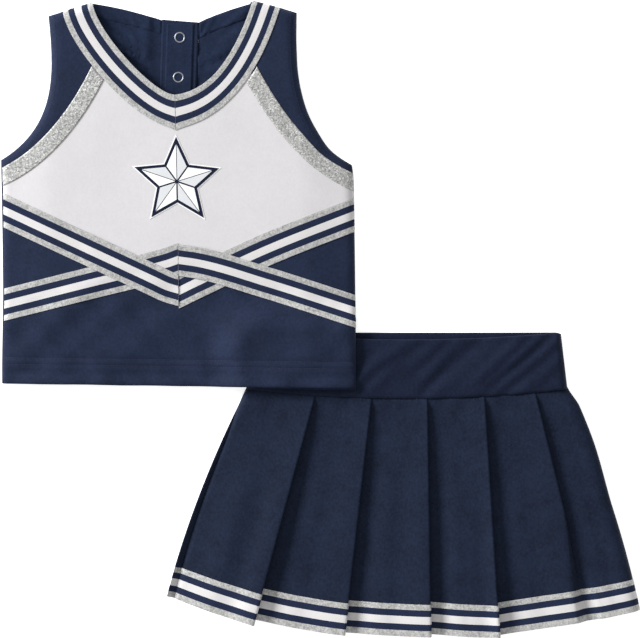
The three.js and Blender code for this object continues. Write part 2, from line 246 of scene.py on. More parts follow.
def inside(points: Array, outline: Array) -> Array:
    """Whether points lie in an outline.

    Args:
        points: x and y of each point.
        outline: the closed outline.

    Returns:
        True for each point that lies in it.
    """
    x, y = points[:, 0], points[:, 1]
    hit = np.zeros(len(points), bool)
    for (ax, ay), (bx, by) in zip(outline, np.roll(outline, -1, axis=0)):
        if ay != by:
            spans = (ay > y) != (by > y)
            hit ^= spans & (x < (bx - ax) * (y - ay) / (by - ay) + ax)
    return hit


def level_line(y: float, half: float, count: int) -> Array:
    """A level line at height y, from -half to half."""
    return np.stack([np.linspace(-half, half, count), np.full(count, y)], axis=1)


def upright_line(x: float, low: float, high: float, count: int) -> Array:
    """An upright line at x."""
    return np.stack([np.full(count, x), np.linspace(low, high, count)], axis=1)


def grid_of(rows: Sequence[Array], columns: int) -> Array:
    """Lines side by side as a grid, each with its points evenly spaced."""
    return np.stack([evened(row, columns) for row in rows], axis=1)


def mirrored(line: Array) -> Array:
    """A right-hand line or grid on the left."""
    return np.stack([-line[..., 0], line[..., 1]], axis=-1)


def on_right(points: Array) -> Array:
    """Points brought over to the right of the centre line."""
    return np.stack([np.abs(points[..., 0]), points[..., 1]], axis=-1)


# ---------------- shells


@dataclass
class Shell:
    """Points, faces and a finish number for each face of one closed body."""

    points: Array
    faces: list[tuple[int, ...]]
    slots: list[int]

    @staticmethod
    def joined(shells: Sequence["Shell"]) -> "Shell":
        """Several shells as one.

        Args:
            shells: the bodies to put together.

        Returns:
            One shell that holds them all.
        """
        points, faces, slots, start = [], [], [], 0
        for shell in shells:
            points.append(shell.points)
            faces += [tuple(i + start for i in f) for f in shell.faces]
            slots += shell.slots
            start += len(shell.points)
        return Shell(np.vstack(points), faces, slots)


def grid_normals(mid: Array) -> Array:
    """Unit normals of a grid of points."""
    normal = np.cross(np.gradient(mid, axis=0), np.gradient(mid, axis=1))
    return normal / np.maximum(np.linalg.norm(normal, axis=2, keepdims=True), 1e-9)


def raised(mid: Array, distance: float) -> Array:
    """A grid moved along its own normals."""
    return mid + grid_normals(mid) * distance


def facing_up(mid: Array) -> Array:
    """The grid, turned round where its normals point down."""
    return mid[::-1] if grid_normals(mid)[..., 2].mean() < 0 else mid


def grid_shell(mid: Array, thickness: Array | float, slots: Array | None = None,
               bulge: float = 0.3) -> Shell:
    """Cloth of some thickness around a grid of points, with rounded edges.

    Args:
        mid: grid of points at mid thickness; x grows along the first axis and y along the second.
        thickness: thickness everywhere, or one value for each point.
        slots: finish number of each cell of the grid.
        bulge: how far the rim stands out, as a share of the thickness.

    Returns:
        The closed shell.
    """
    m, n = mid.shape[:2]
    thick = np.broadcast_to(np.asarray(thickness, float), (m, n))[..., None]
    half = grid_normals(mid) * thick / 2
    index = np.arange(m * n).reshape(m, n)
    slots = np.zeros((m - 1, n - 1), int) if slots is None else slots
    rim = [(i, 0) for i in range(m)] + [(m - 1, j) for j in range(1, n)]
    rim += [(i, n - 1) for i in range(m - 2, -1, -1)] + [(0, j) for j in range(n - 2, 0, -1)]
    ring = []
    for i, j in rim:
        inward = mid[min(max(i, 1), m - 2), min(max(j, 1), n - 2)]
        out = mid[i, j] - inward
        ring.append(mid[i, j] + out / max(np.linalg.norm(out), 1e-9) * thick[i, j] * bulge)
    points = np.vstack([(mid + half).reshape(-1, 3), (mid - half).reshape(-1, 3), np.array(ring)])
    low = m * n
    a, b, c, d = index[:-1, :-1], index[1:, :-1], index[1:, 1:], index[:-1, 1:]
    quads = np.stack([a, b, c, d, a + low, d + low, c + low, b + low], axis=-1).reshape(-1, 4)
    faces = [tuple(quad) for quad in quads.tolist()]
    numbers = np.repeat(slots, 2).tolist()
    for k, (i, j) in enumerate(rim):
        i2, j2 = rim[(k + 1) % len(rim)]
        a, b = int(index[i, j]), int(index[i2, j2])
        ra, rb = 2 * low + k, 2 * low + (k + 1) % len(rim)
        faces += [(ra, rb, b, a), (a + low, b + low, rb, ra)]
        cell = int(slots[min(i, i2, m - 2), min(j, j2, n - 2)])
        numbers += [cell, cell]
    return Shell(points, faces, numbers)


@dataclass
class Cut:
    """A flat pattern filled with triangles.

    Attributes:
        points: x and y of each point.
        triangles: point numbers, anticlockwise.
    """

    points: Array
    triangles: Array

    @classmethod
    def fill(cls, outline: Array, lines: Sequence[Array] = (), holes: Sequence[Array] = (),
             step: float = 3.4, rows: Sequence[Array] = ()) -> "Cut":
        """Fills an outline with even triangles.

        Args:
            outline: closed outline.
            lines: seams that the triangles must not cross.
            holes: closed outlines that are left open.
            step: spacing of the points.
            rows: lines of extra points, where the surface bends sharply.

        Returns:
            The filled pattern.
        """
        loops = [np.asarray(outline, float), *[np.asarray(h, float) for h in holes]]
        chains = [np.asarray(line, float) for line in lines]
        low, high = outline.min(axis=0), outline.max(axis=0)
        ys = np.arange(low[1] + step / 2, high[1], step * 0.866)
        lattice = [
            (x, y)
            for k, y in enumerate(ys)
            for x in np.arange(low[0] + step * (0.25 + 0.5 * (k % 2)), high[0], step)
        ]
        closed = [np.vstack([loop, loop[:1]]) for loop in loops]
        inner = np.array(lattice)
        inner = inner[inside(inner, loops[0])]
        for line in [*closed, *chains]:
            inner = inner[distance_to(inner, line) > step * 0.5]
        extra = [np.asarray(row, float) for row in rows]
        for row in extra:
            inner = inner[distance_to(inner, row) > step * 0.3]
        rings = np.vstack([offset(loop, distance) for loop in closed for distance in (1.0, -1.0)])
        rings = rings[inside(rings, loops[0])]
        for line in [*closed, *chains]:
            rings = rings[distance_to(rings, line) > 0.8]
        edges, start = [], 0
        for k, line in enumerate([*loops, *chains]):
            count = len(line)
            last = count if k < len(loops) else count - 1
            edges += [(start + i, start + (i + 1) % count) for i in range(last)]
            start += count
        cloud = np.vstack([*loops, *chains, inner, rings, *[e[inside(e, loops[0])] for e in extra]])
        made = geometry.delaunay_2d_cdt([Vector(p) for p in cloud], edges, [], 1, 1e-4)
        points = np.array([tuple(p) for p in made[0]])
        triangles = np.array([f for f in made[2] if len(f) == 3])
        a, b, c = points[triangles[:, 0]], points[triangles[:, 1]], points[triangles[:, 2]]
        turn = (b[:, 0] - a[:, 0]) * (c[:, 1] - a[:, 1]) - (b[:, 1] - a[:, 1]) * (c[:, 0] - a[:, 0])
        triangles = np.where((turn < 0)[:, None], triangles[:, ::-1], triangles)[np.abs(turn) > 1e-7]
        whole = cls(points, triangles)
        open_middle = np.zeros(len(triangles), bool)
        for hole in holes:
            open_middle |= inside(whole.middles(), np.asarray(hole))
        return whole.part(inside(whole.middles(), loops[0]) & ~open_middle)

    def middles(self) -> Array:
        """Middle of each triangle."""
        return self.points[self.triangles].mean(axis=1)

    def part(self, chosen: Array) -> "Cut":
        """The pattern made of some of the triangles.

        Args:
            chosen: True for each triangle that is kept.

        Returns:
            The smaller pattern, with its points numbered afresh.
        """
        kept = self.triangles[chosen]
        used, numbers = np.unique(kept, return_inverse=True)
        return Cut(self.points[used], numbers.reshape(-1, 3))

    def area(self) -> float:
        """Flat area of the pattern."""
        a, b, c = (self.points[self.triangles[:, k]] for k in range(3))
        return float(np.abs((b - a)[:, 0] * (c - a)[:, 1] - (b - a)[:, 1] * (c - a)[:, 0]).sum() / 2)

    def shell(self, place: Callable[[Array], Array], thickness: float, slots: Array | None = None,
              bulge: float = 0.3) -> Shell:
        """The pattern as cloth of some thickness.

        Args:
            place: takes pattern points to points on the upper face of the laid cloth.
            thickness: thickness of the cloth.
            slots: finish number of each triangle.
            bulge: how far the rim stands out, as a share of the thickness.

        Returns:
            The closed shell.
        """
        top = place(self.points)
        tri = self.triangles
        flat = np.cross(top[tri[:, 1]] - top[tri[:, 0]], top[tri[:, 2]] - top[tri[:, 0]])
        normal = np.zeros_like(top)
        for k in range(3):
            np.add.at(normal, tri[:, k], flat)
        normal /= np.maximum(np.linalg.norm(normal, axis=1, keepdims=True), 1e-12)
        low = top - normal * thickness
        directed = {(int(t[k]), int(t[(k + 1) % 3])): i for i, t in enumerate(tri) for k in range(3)}
        border = [(edge, i) for edge, i in directed.items() if (edge[1], edge[0]) not in directed]
        out = np.zeros_like(top)
        for (a, b), _ in border:
            way = top[b] - top[a]
            push = np.array([way[1], -way[0], 0.0])
            push /= max(float(np.linalg.norm(push)), 1e-9)
            out[a] += push
            out[b] += push
        rim = sorted({v for edge, _ in border for v in edge})
        spot = {v: 2 * len(top) + k for k, v in enumerate(rim)}
        ring = [
            (top[v] + low[v]) / 2 + out[v] / max(float(np.linalg.norm(out[v])), 1e-9) * thickness * bulge
            for v in rim
        ]
        count = len(top)
        slots = np.zeros(len(tri), int) if slots is None else slots
        faces: list[tuple[int, ...]] = [tuple(int(v) for v in t) for t in tri]
        faces += [tuple(int(v) + count for v in t[::-1]) for t in tri]
        numbers = [int(s) for s in slots] * 2
        for (a, b), i in border:
            faces += [(spot[a], spot[b], b, a), (a + count, b + count, spot[b], spot[a])]
            numbers += [int(slots[i])] * 2
        return Shell(np.vstack([top, low, np.array(ring)]), faces, numbers)


class Stitch(Enum):
    """Kinds of stitch: pitch, length, half the thread's width, and height of its middle above the line."""

    HEM = (2.7, 2.3, 0.2, 0.12)
    TRIM = (2.4, 1.7, 0.13, 0.02)
    MITRE = (2.0, 1.9, 0.13, 0.02)
    ARMHOLE = (2.8, 1.9, 0.17, 0.06)
    PLACKET = (2.6, 1.9, 0.16, 0.05)
    TOP_SEAM = (1.5, 1.3, 0.14, 0.0)
    WAISTBAND_SEAM = (1.4, 1.3, 0.3, 0.0)
    SKIRT_SEAM = (1.6, 1.4, 0.22, 0.0)


def stitches(run: Array, kind: Stitch) -> Shell:
    """A row of thread stitches along a line.

    Args:
        run: points of the line, on the surface of the cloth.
        kind: the kind of stitch.

    Returns:
        One small closed body for each stitch.
    """
    pitch, length, radius, lift = kind.value
    count = max(int(length_of(run) / pitch), 1)
    at = (np.arange(count) + 0.5) / count * length_of(run)
    gone = way_gone(run)
    place = [
        np.stack([np.interp(at + d, gone, run[:, k]) for k in range(3)], axis=1) for d in (-0.3, 0.3, 0)
    ]
    way = place[1] - place[0]
    way /= np.maximum(np.linalg.norm(way, axis=1, keepdims=True), 1e-9)
    across = np.cross(np.array([0, 0, 1.0]), way)
    across /= np.maximum(np.linalg.norm(across, axis=1, keepdims=True), 1e-9)
    up = np.cross(way, across)
    sides, rings = 6, ((-0.5, 0.4, -0.8), (-0.3, 1.0, 0.0), (0.3, 1.0, 0.0), (0.5, 0.4, -0.8))
    points = []
    for share, swell, sink in rings:
        for k in range(sides):
            turn = 2 * math.pi * k / sides
            spot = place[2] + way * share * length + up * (lift + sink * radius)
            points.append(spot + (across * math.cos(turn) + up * math.sin(turn)) * radius * swell)
    cloud = np.stack(points, axis=1)
    per = cloud.shape[1]
    pattern: list[tuple[int, ...]] = [tuple(range(sides)), tuple(range(per - 1, per - sides - 1, -1))]
    for r in range(len(rings) - 1):
        for k in range(sides):
            a, b = r * sides + k, r * sides + (k + 1) % sides
            pattern.append((b, a, a + sides, b + sides))
    faces = [tuple(i + s * per for i in f) for s in range(count) for f in pattern]
    return Shell(cloud.reshape(-1, 3), faces, [0] * len(faces))


def turned(profile: Sequence[Sequence[float]], centre: Array, segments: int) -> Shell:
    """A ring or disc turned from its profile.

    Args:
        profile: radius and height pairs, anticlockwise round the section.
        centre: point that the heights and radii start from.
        segments: steps round the circle.

    Returns:
        The closed shell.
    """
    points, faces = [], []
    count = len(profile)
    for k in range(segments):
        turn = 2 * math.pi * k / segments
        points += [(r * math.cos(turn), r * math.sin(turn), z) for r, z in profile]
    for k in range(segments):
        for i in range(count):
            a, b = k * count + i, k * count + (i + 1) % count
            c, d = ((k + 1) % segments) * count + (i + 1) % count, ((k + 1) % segments) * count + i
            faces.append((a, d, c, b))
    return Shell(np.array(points) + centre, faces, [0] * len(faces))


# ---------------- finishes


def linear(level: float) -> float:
    """A display level from 0 to 255 as linear light."""
    share = level / 255
    return share / 12.92 if share <= 0.04045 else ((share + 0.055) / 1.055) ** 2.4


def paint(colour: Sequence[float], gain: float = 1.0) -> tuple[float, float, float, float]:
    """A display colour as a linear colour, made lighter or darker by a factor."""
    red, green, blue = (min(linear(c) * gain, 1.0) for c in colour)
    return red, green, blue, 1.0


class Nodes:
    """Adds and links the nodes of one material."""

    def __init__(self, name: str) -> None:
        """Starts an empty material with a shader and its output."""
        self.material = bpy.data.materials.new(name)
        self.material.use_nodes = True
        self.tree = self.material.node_tree
        self.tree.nodes.clear()
        self.shader = self.add("ShaderNodeBsdfPrincipled")
        output = self.add("ShaderNodeOutputMaterial")
        self.link(self.shader.outputs[0], output.inputs[0])
        self.place = self.add("ShaderNodeTexCoord").outputs["Object"]

    def add(self, kind: str, **settings: object) -> bpy.types.Node:
        """A new node with some of its settings changed."""
        node = self.tree.nodes.new(kind)
        for name, value in settings.items():
            setattr(node, name, value)
        return node

    def link(self, source: Socket, target: Socket) -> None:
        """Joins an output to an input."""
        self.tree.links.new(source, target)

    def fed(self, kind: str, source: Socket, numbers: dict[str, float | Triple]) -> bpy.types.Node:
        """A new texture or mapping node.

        Args:
            kind: kind of node.
            source: place fed into it.
            numbers: values of some of its inputs.

        Returns:
            The node.
        """
        node = self.add(kind)
        self.link(source, node.inputs["Vector"])
        for name, value in numbers.items():
            node.inputs[name].default_value = value
        return node

    def grain(self, scale: float, detail: float = 2.0, rough: float = 0.55, flat: float = 1.0) -> Socket:
        """Cloudy noise.

        Args:
            scale: clouds per metre.
            detail: octaves.
            rough: strength of the finer octaves.
            flat: stretch of the noise along y.

        Returns:
            The noise, from 0 to 1.
        """
        mapped = self.fed("ShaderNodeMapping", self.place, {"Scale": (1.0, flat, 1.0)})
        numbers = {"Scale": scale, "Detail": detail, "Roughness": rough}
        return self.fed("ShaderNodeTexNoise", mapped.outputs[0], numbers).outputs[0]

    def ribs(self, pitch: float, direction: str) -> Socket:
        """Even ridges.

        Args:
            pitch: ridge to ridge, in millimetres.
            direction: axis across the ridges, X, Y, Z or DIAGONAL.

        Returns:
            The ridge height, from 0 to 1.
        """
        numbers = {"Scale": 2 * math.pi / 20 / (pitch * MM), "Distortion": 0.8, "Detail": 1.0}
        node = self.fed("ShaderNodeTexWave", self.place, numbers)
        node.bands_direction = direction
        return node.outputs["Fac"]

    def cells(self, size: float, output: str = "Distance") -> Socket:
        """The Distance or Color of random cells of a size in millimetres."""
        return self.fed("ShaderNodeTexVoronoi", self.place, {"Scale": 1 / (size * MM)}).outputs[output]

    def sum(self, *weighted: tuple[Socket, float]) -> Socket:
        """Values added up, each times its weight."""
        total = None
        for source, weight in weighted:
            node = self.add("ShaderNodeMath", operation="MULTIPLY_ADD")
            self.link(source, node.inputs[0])
            node.inputs[1].default_value = weight
            node.inputs[2].default_value = 0.0
            if total is not None:
                self.link(total, node.inputs[2])
            total = node.outputs[0]
        return total

    def shades(self, source: Socket, stops: Sequence[tuple[float, Sequence[float]]]) -> Socket:
        """Colours picked by a value.

        Args:
            source: the value.
            stops: pairs of a value and its linear colour.

        Returns:
            The colour.
        """
        node = self.add("ShaderNodeValToRGB")
        ramp = node.color_ramp
        while len(ramp.elements) < len(stops):
            ramp.elements.new(0.5)
        for element, (position, colour) in zip(ramp.elements, stops):
            element.position = position
            element.color = colour
        self.link(source, node.inputs[0])
        return node.outputs[0]

    def relief(self, source: Socket, depth: float, strength: float = 1.0) -> None:
        """Gives the shader small bumps.

        Args:
            source: height, from 0 to 1.
            depth: height of the bumps, in millimetres.
            strength: strength of the effect.
        """
        node = self.add("ShaderNodeBump")
        node.inputs["Strength"].default_value = strength
        node.inputs["Distance"].default_value = depth * MM
        self.link(source, node.inputs["Height"])
        self.link(node.outputs[0], self.shader.inputs["Normal"])

    def surface(self, roughness: float, metallic: float = 0.0, sheen: float = 0.0,
                specular: float = 0.5) -> None:
        """Sets the numbers that are the same all over the surface."""
        numbers = {"Roughness": roughness, "Metallic": metallic, "Sheen Weight": sheen,
                   "Sheen Roughness": 0.5, "Specular IOR Level": specular}
        for name, value in numbers.items():
            self.shader.inputs[name].default_value = value


@dataclass(frozen=True)
class Knit:
    """A smooth double-knit cloth.

    Attributes:
        name: name of the material.
        colour: display colour.
        pitch: wale to wale, in millimetres.
        depth: depth of the knit, in millimetres.
        mottle: how much lighter and darker it goes.
        roughness: roughness of the fibre.
        sheen: soft light at grazing angles.
    """

    name: str
    colour: Triple
    pitch: float = 0.62
    depth: float = 0.05
    mottle: float = 0.19
    roughness: float = 0.75
    sheen: float = 0.02

    def material(self) -> bpy.types.Material:
        """Builds the knit's material."""
        n = Nodes(self.name)
        wales, courses = n.ribs(self.pitch, "X"), n.ribs(self.pitch * 0.8, "Y")
        clouds, fuzz = n.grain(58, 3.0), n.grain(470, 3.0, 0.75, flat=0.8)
        tone = n.sum((clouds, 0.3), (fuzz, 0.6), (wales, 0.06), (courses, 0.04))
        low, high = paint(self.colour, 1 - 2 * self.mottle), paint(self.colour, 1 + 2 * self.mottle)
        n.link(n.shades(tone, ((0.3, low), (0.7, high))), n.shader.inputs["Base Color"])
        n.relief(n.sum((wales, 0.5), (courses, 0.3), (fuzz, 0.5)), self.depth, 0.8)
        n.surface(self.roughness, sheen=self.sheen, specular=0.1)
        return n.material


@dataclass(frozen=True)
class SilverKnit:
    """The metallic yarn of the braid's silver stripes, in three display colours."""

    name: str
    dark: Triple = (118, 118, 118)
    middle: Triple = (176, 176, 175)
    light: Triple = (214, 213, 211)

    def material(self) -> bpy.types.Material:
        """Builds the silver yarn's material."""
        n = Nodes(self.name)
        flecks, clouds = n.grain(760, 2.0, 0.7), n.grain(300, 2.0)
        tone = n.sum((flecks, 0.62), (clouds, 0.38))
        stops = ((0.3, paint(self.dark)), (0.52, paint(self.middle)), (0.72, paint(self.light)))
        n.link(n.shades(tone, stops), n.shader.inputs["Base Color"])
        n.relief(n.sum((n.cells(0.7), 0.6), (flecks, 0.5)), 0.16, 0.9)
        n.surface(0.45, metallic=0.15, specular=0.5)
        return n.material


@dataclass(frozen=True)
class Glitter:
    """Cloth covered in silver glitter: flake to flake in millimetres, and display colours, dark to light."""

    name: str
    flake: float = 1.1
    tones: tuple[Triple, ...] = (
        (112, 113, 112), (156, 156, 154), (184, 184, 182), (228, 228, 228)
    )

    def material(self) -> bpy.types.Material:
        """Builds the glitter's material."""
        n = Nodes(self.name)
        spread = n.add("ShaderNodeSeparateColor")
        n.link(n.cells(self.flake, "Color"), spread.inputs[0])
        fine = n.add("ShaderNodeSeparateColor")
        n.link(n.cells(self.flake * 0.45, "Color"), fine.inputs[0])
        tone = n.sum((spread.outputs[0], 0.62), (fine.outputs[1], 0.38))
        stops = [(share, paint(colour)) for share, colour in zip((0.08, 0.4, 0.72, 0.92), self.tones)]
        n.link(n.shades(tone, stops), n.shader.inputs["Base Color"])
        n.relief(n.sum((spread.outputs[1], 0.6), (fine.outputs[2], 0.4)), 0.16, 0.8)
        n.surface(0.5, metallic=0.15, specular=0.4)
        return n.material


@dataclass(frozen=True)
class Thread:
    """Twisted sewing thread, or satin stitches laid side by side.

    Attributes:
        name: name of the material.
        colour: display colour.
        pitch: twist to twist, in millimetres.
        depth: depth of the twist, in millimetres.
        direction: axis across the twists.
    """

    name: str
    colour: Triple
    pitch: float = 0.35
    depth: float = 0.06
    direction: str = "DIAGONAL"

    def material(self) -> bpy.types.Material:
        """Builds the thread's material."""
        n = Nodes(self.name)
        twist, clouds = n.ribs(self.pitch, self.direction), n.grain(240, 2.0)
        tone = n.sum((twist, 0.4), (clouds, 0.6))
        stops = ((0.15, paint(self.colour, 0.78)), (0.85, paint(self.colour, 1.18)))
        n.link(n.shades(tone, stops), n.shader.inputs["Base Color"])
        n.relief(twist, self.depth, 0.8)
        n.surface(0.6, sheen=0.02, specular=0.15)
        return n.material


@dataclass(frozen=True)
class Nickel:
    """Bright plated metal with fine wear."""

    name: str

    def material(self) -> bpy.types.Material:
        """Builds the metal's material."""
        n = Nodes(self.name)
        wear, fine = n.grain(420, 3.0), n.grain(2600, 2.0)
        stops = ((0.25, paint((128, 132, 140))), (0.75, paint((176, 179, 184))))
        n.link(n.shades(n.sum((wear, 0.7), (fine, 0.3)), stops), n.shader.inputs["Base Color"])
        n.relief(fine, 0.02, 0.4)
        n.surface(0.42, metallic=0.85)
        return n.material


@dataclass(frozen=True)
class Paper:
    """The pale, softly lit-through surface that the set lies on."""

    name: str
    glow: float = 0.66

    def material(self) -> bpy.types.Material:
        """Builds the surface's material."""
        n = Nodes(self.name)
        stops = ((0.3, paint((250, 250, 250))), (0.7, paint((253, 253, 253))))
        n.link(n.shades(n.grain(9, 2.0), stops), n.shader.inputs["Base Color"])
        n.surface(0.9, specular=0.2)
        n.shader.inputs["Emission Color"].default_value = (1.0, 1.0, 1.0, 1.0)
        n.shader.inputs["Emission Strength"].default_value = self.glow
        return n.material


class Finish(Enum):
    """Every finish on the uniform."""

    NAVY = Knit("navy_knit", (29, 38, 60))
    NAVY_SKIRT = Knit("navy_skirt_knit", (23.5, 32, 51), mottle=0.27)
    # the skirt's navy made darker for the waistband casings: painted shade, so the band looks darker than the
    # pleats
    NAVY_BAND_SHADED = Knit("navy_waistband_knit", (21.5, 29, 49), mottle=0.24)
    NAVY_LINING = Knit("navy_lining", (27, 37, 59), roughness=0.85)
    WHITE = Knit("white_knit", (204, 202, 204), mottle=0.03, depth=0.05, roughness=0.85)
    BRAID_NAVY = Knit("braid_navy", (29, 38, 62), pitch=0.8, depth=0.09, mottle=0.12)
    BRAID_WHITE = Knit("braid_white", (207, 205, 205), pitch=0.8, depth=0.08, mottle=0.02)
    SILVER = SilverKnit("braid_silver")
    GLITTER = Glitter("silver_glitter")
    NAVY_THREAD = Thread("navy_thread", (36, 45, 70))
    GREY_THREAD = Thread("grey_thread", (120, 122, 130))
    WHITE_THREAD = Thread("white_thread", (214, 213, 212))
    WHITE_INK = Knit("white_ink", (229, 229, 229), depth=0.02, mottle=0.008)
    # light grey-blue ink for every other facet of the emblem's star: painted shade, as if the flat print were
    # a bevelled star lit from one side
    STAR_PAINTED_SHADE_INK = Knit("star_painted_shade_ink", (212, 214, 217), depth=0.02, mottle=0.02)
    NAVY_INK = Knit("navy_ink", (22, 29, 50), depth=0.02, mottle=0.05)
    ELASTIC = Thread("elastic_web", (238, 236, 230), pitch=1.4, depth=0.3, direction="Y")
    NICKEL = Nickel("snap_nickel")
    PAPER = Paper("pale_floor")

    def material(self) -> bpy.types.Material:
        """The finish's material, built the first time that it is asked for."""
        return bpy.data.materials.get(self.value.name) or self.value.material()


class Body(Enum):
    """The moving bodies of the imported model."""

    SKIRT = "skirt"
    SKIRT_FRONT = "skirt_front"
    TOP = "top"
    PLACKET = "placket"


class Side(Enum):
    """Left or right of the centre line, as it lies."""

    LEFT = -1
    RIGHT = 1

    @property
    def word(self) -> str:
        """The side as it is written in a piece's name."""
        return self.name.lower()


class Band(Enum):
    """The two bands that cross below the chest."""

    V = "v"
    PEAK = "peak"

    def over(self, side: Side) -> bool:
        """True on the side where the band passes over the other one."""
        return (self is Band.V) == (side is Side.LEFT)


@dataclass(frozen=True)
class Bend:
    """Where cloth turns from following one body to following another, in the row frame, in metres."""

    first: Body
    second: Body
    start: Triple
    end: Triple


@dataclass(frozen=True)
class FlatCut:
    """The size that a piece of cloth was cut to, and what it lies on.

    Attributes:
        width: width in millimetres.
        length: length in millimetres.
        rests_on: names of what it lies on.
        area: area in square millimetres, where the cut isn't a rectangle.
        held: how it is held: laid, folded or stretched.
    """

    width: float
    length: float
    rests_on: tuple[str, ...]
    area: float | None = None
    held: str = "laid"

    @classmethod
    def of(cls, cut: Cut, *rests_on: str, least: float = 0.0) -> "FlatCut":
        """The size of a filled pattern.

        Args:
            cut: the pattern.
            rests_on: names of what it lies on.
            least: least share of its width times its length that counts as its area.

        Returns:
            Its width, length and area.
        """
        width, length = (float(size) for size in cut.points.max(axis=0) - cut.points.min(axis=0))
        return cls(width, length, rests_on, max(cut.area(), least * width * length))


def piece(name: str, shell: Shell, finishes: Sequence[Finish], rides: Body | Bend,
          replaces: Sequence[str] = (), cut: FlatCut | None = None) -> bpy.types.Object:
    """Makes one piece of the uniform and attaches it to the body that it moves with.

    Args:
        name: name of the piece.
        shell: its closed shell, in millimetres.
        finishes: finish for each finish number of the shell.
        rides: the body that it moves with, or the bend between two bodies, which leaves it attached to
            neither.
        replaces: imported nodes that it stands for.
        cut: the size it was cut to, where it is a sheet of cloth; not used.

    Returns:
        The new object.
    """
    mesh = bpy.data.meshes.new(name)
    mesh.from_pydata((shell.points * MM).tolist(), [], shell.faces)
    for finish in finishes:
        mesh.materials.append(finish.material())
    mesh.polygons.foreach_set("material_index", shell.slots)
    mesh.polygons.foreach_set("use_smooth", [True] * len(mesh.polygons))
    mesh.update()
    mesh.set_sharp_from_angle(angle=math.radians(65))
    made = bpy.data.objects.new(name, mesh)
    bpy.context.scene.collection.objects.link(made)
    if isinstance(rides, Body):
        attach(made, rides.value)
    else:
        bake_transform(made)
    if replaces:
        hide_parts(*replaces)
    LOG.info("%s: %d points, %d faces", name, len(mesh.vertices), len(mesh.polygons))
    return made


# ---------------- the braid


@dataclass
class Braid:
    """The five-stripe braid: silver, navy, white, navy, silver.

    Attributes:
        stripes: widths of the stripes, in order.
        thickness: thickness of the woven band.
        crown: how much each stripe is rounded.
        rows: grid rows in each stripe.
        finishes: the finishes that its stripes are made of.
        order: number of the finish of each stripe.
        middle_row: grid row at the braid's middle.
    """

    stripes: tuple[float, ...] = (4.9, 5.5, 6.5, 5.5, 4.9)
    thickness: float = 0.6
    crown: float = 0.16
    rows: int = 4
    finishes: tuple[Finish, ...] = (Finish.SILVER, Finish.BRAID_NAVY, Finish.BRAID_WHITE)
    order: tuple[int, ...] = (0, 1, 2, 1, 0)
    middle_row: int = 10

    @property
    def width(self) -> float:
        """Width of the whole braid."""
        return sum(self.stripes)

    def steps(self) -> Array:
        """Distance of each grid row from the braid's first edge."""
        edges = np.concatenate([[0], np.cumsum(self.stripes)])
        inner = [np.linspace(a, b, self.rows, endpoint=False) for a, b in zip(edges, edges[1:])]
        return np.concatenate([*inner, edges[-1:]])

    def shell(self, mid: Array) -> Shell:
        """The braid round the middle of its thickness.

        Args:
            mid: grid of points whose second axis runs across the braid.

        Returns:
            The closed shell, a little thinner at the edges of its stripes.
        """
        share = np.arange(len(self.stripes) * self.rows + 1) % self.rows / self.rows
        thickness = self.thickness - self.crown * np.abs(2 * share - 1) ** 4
        slots = np.tile(np.repeat(self.order, self.rows), (mid.shape[0] - 1, 1))
        return grid_shell(mid, thickness, slots, 0.1)


# ---------------- the crop top


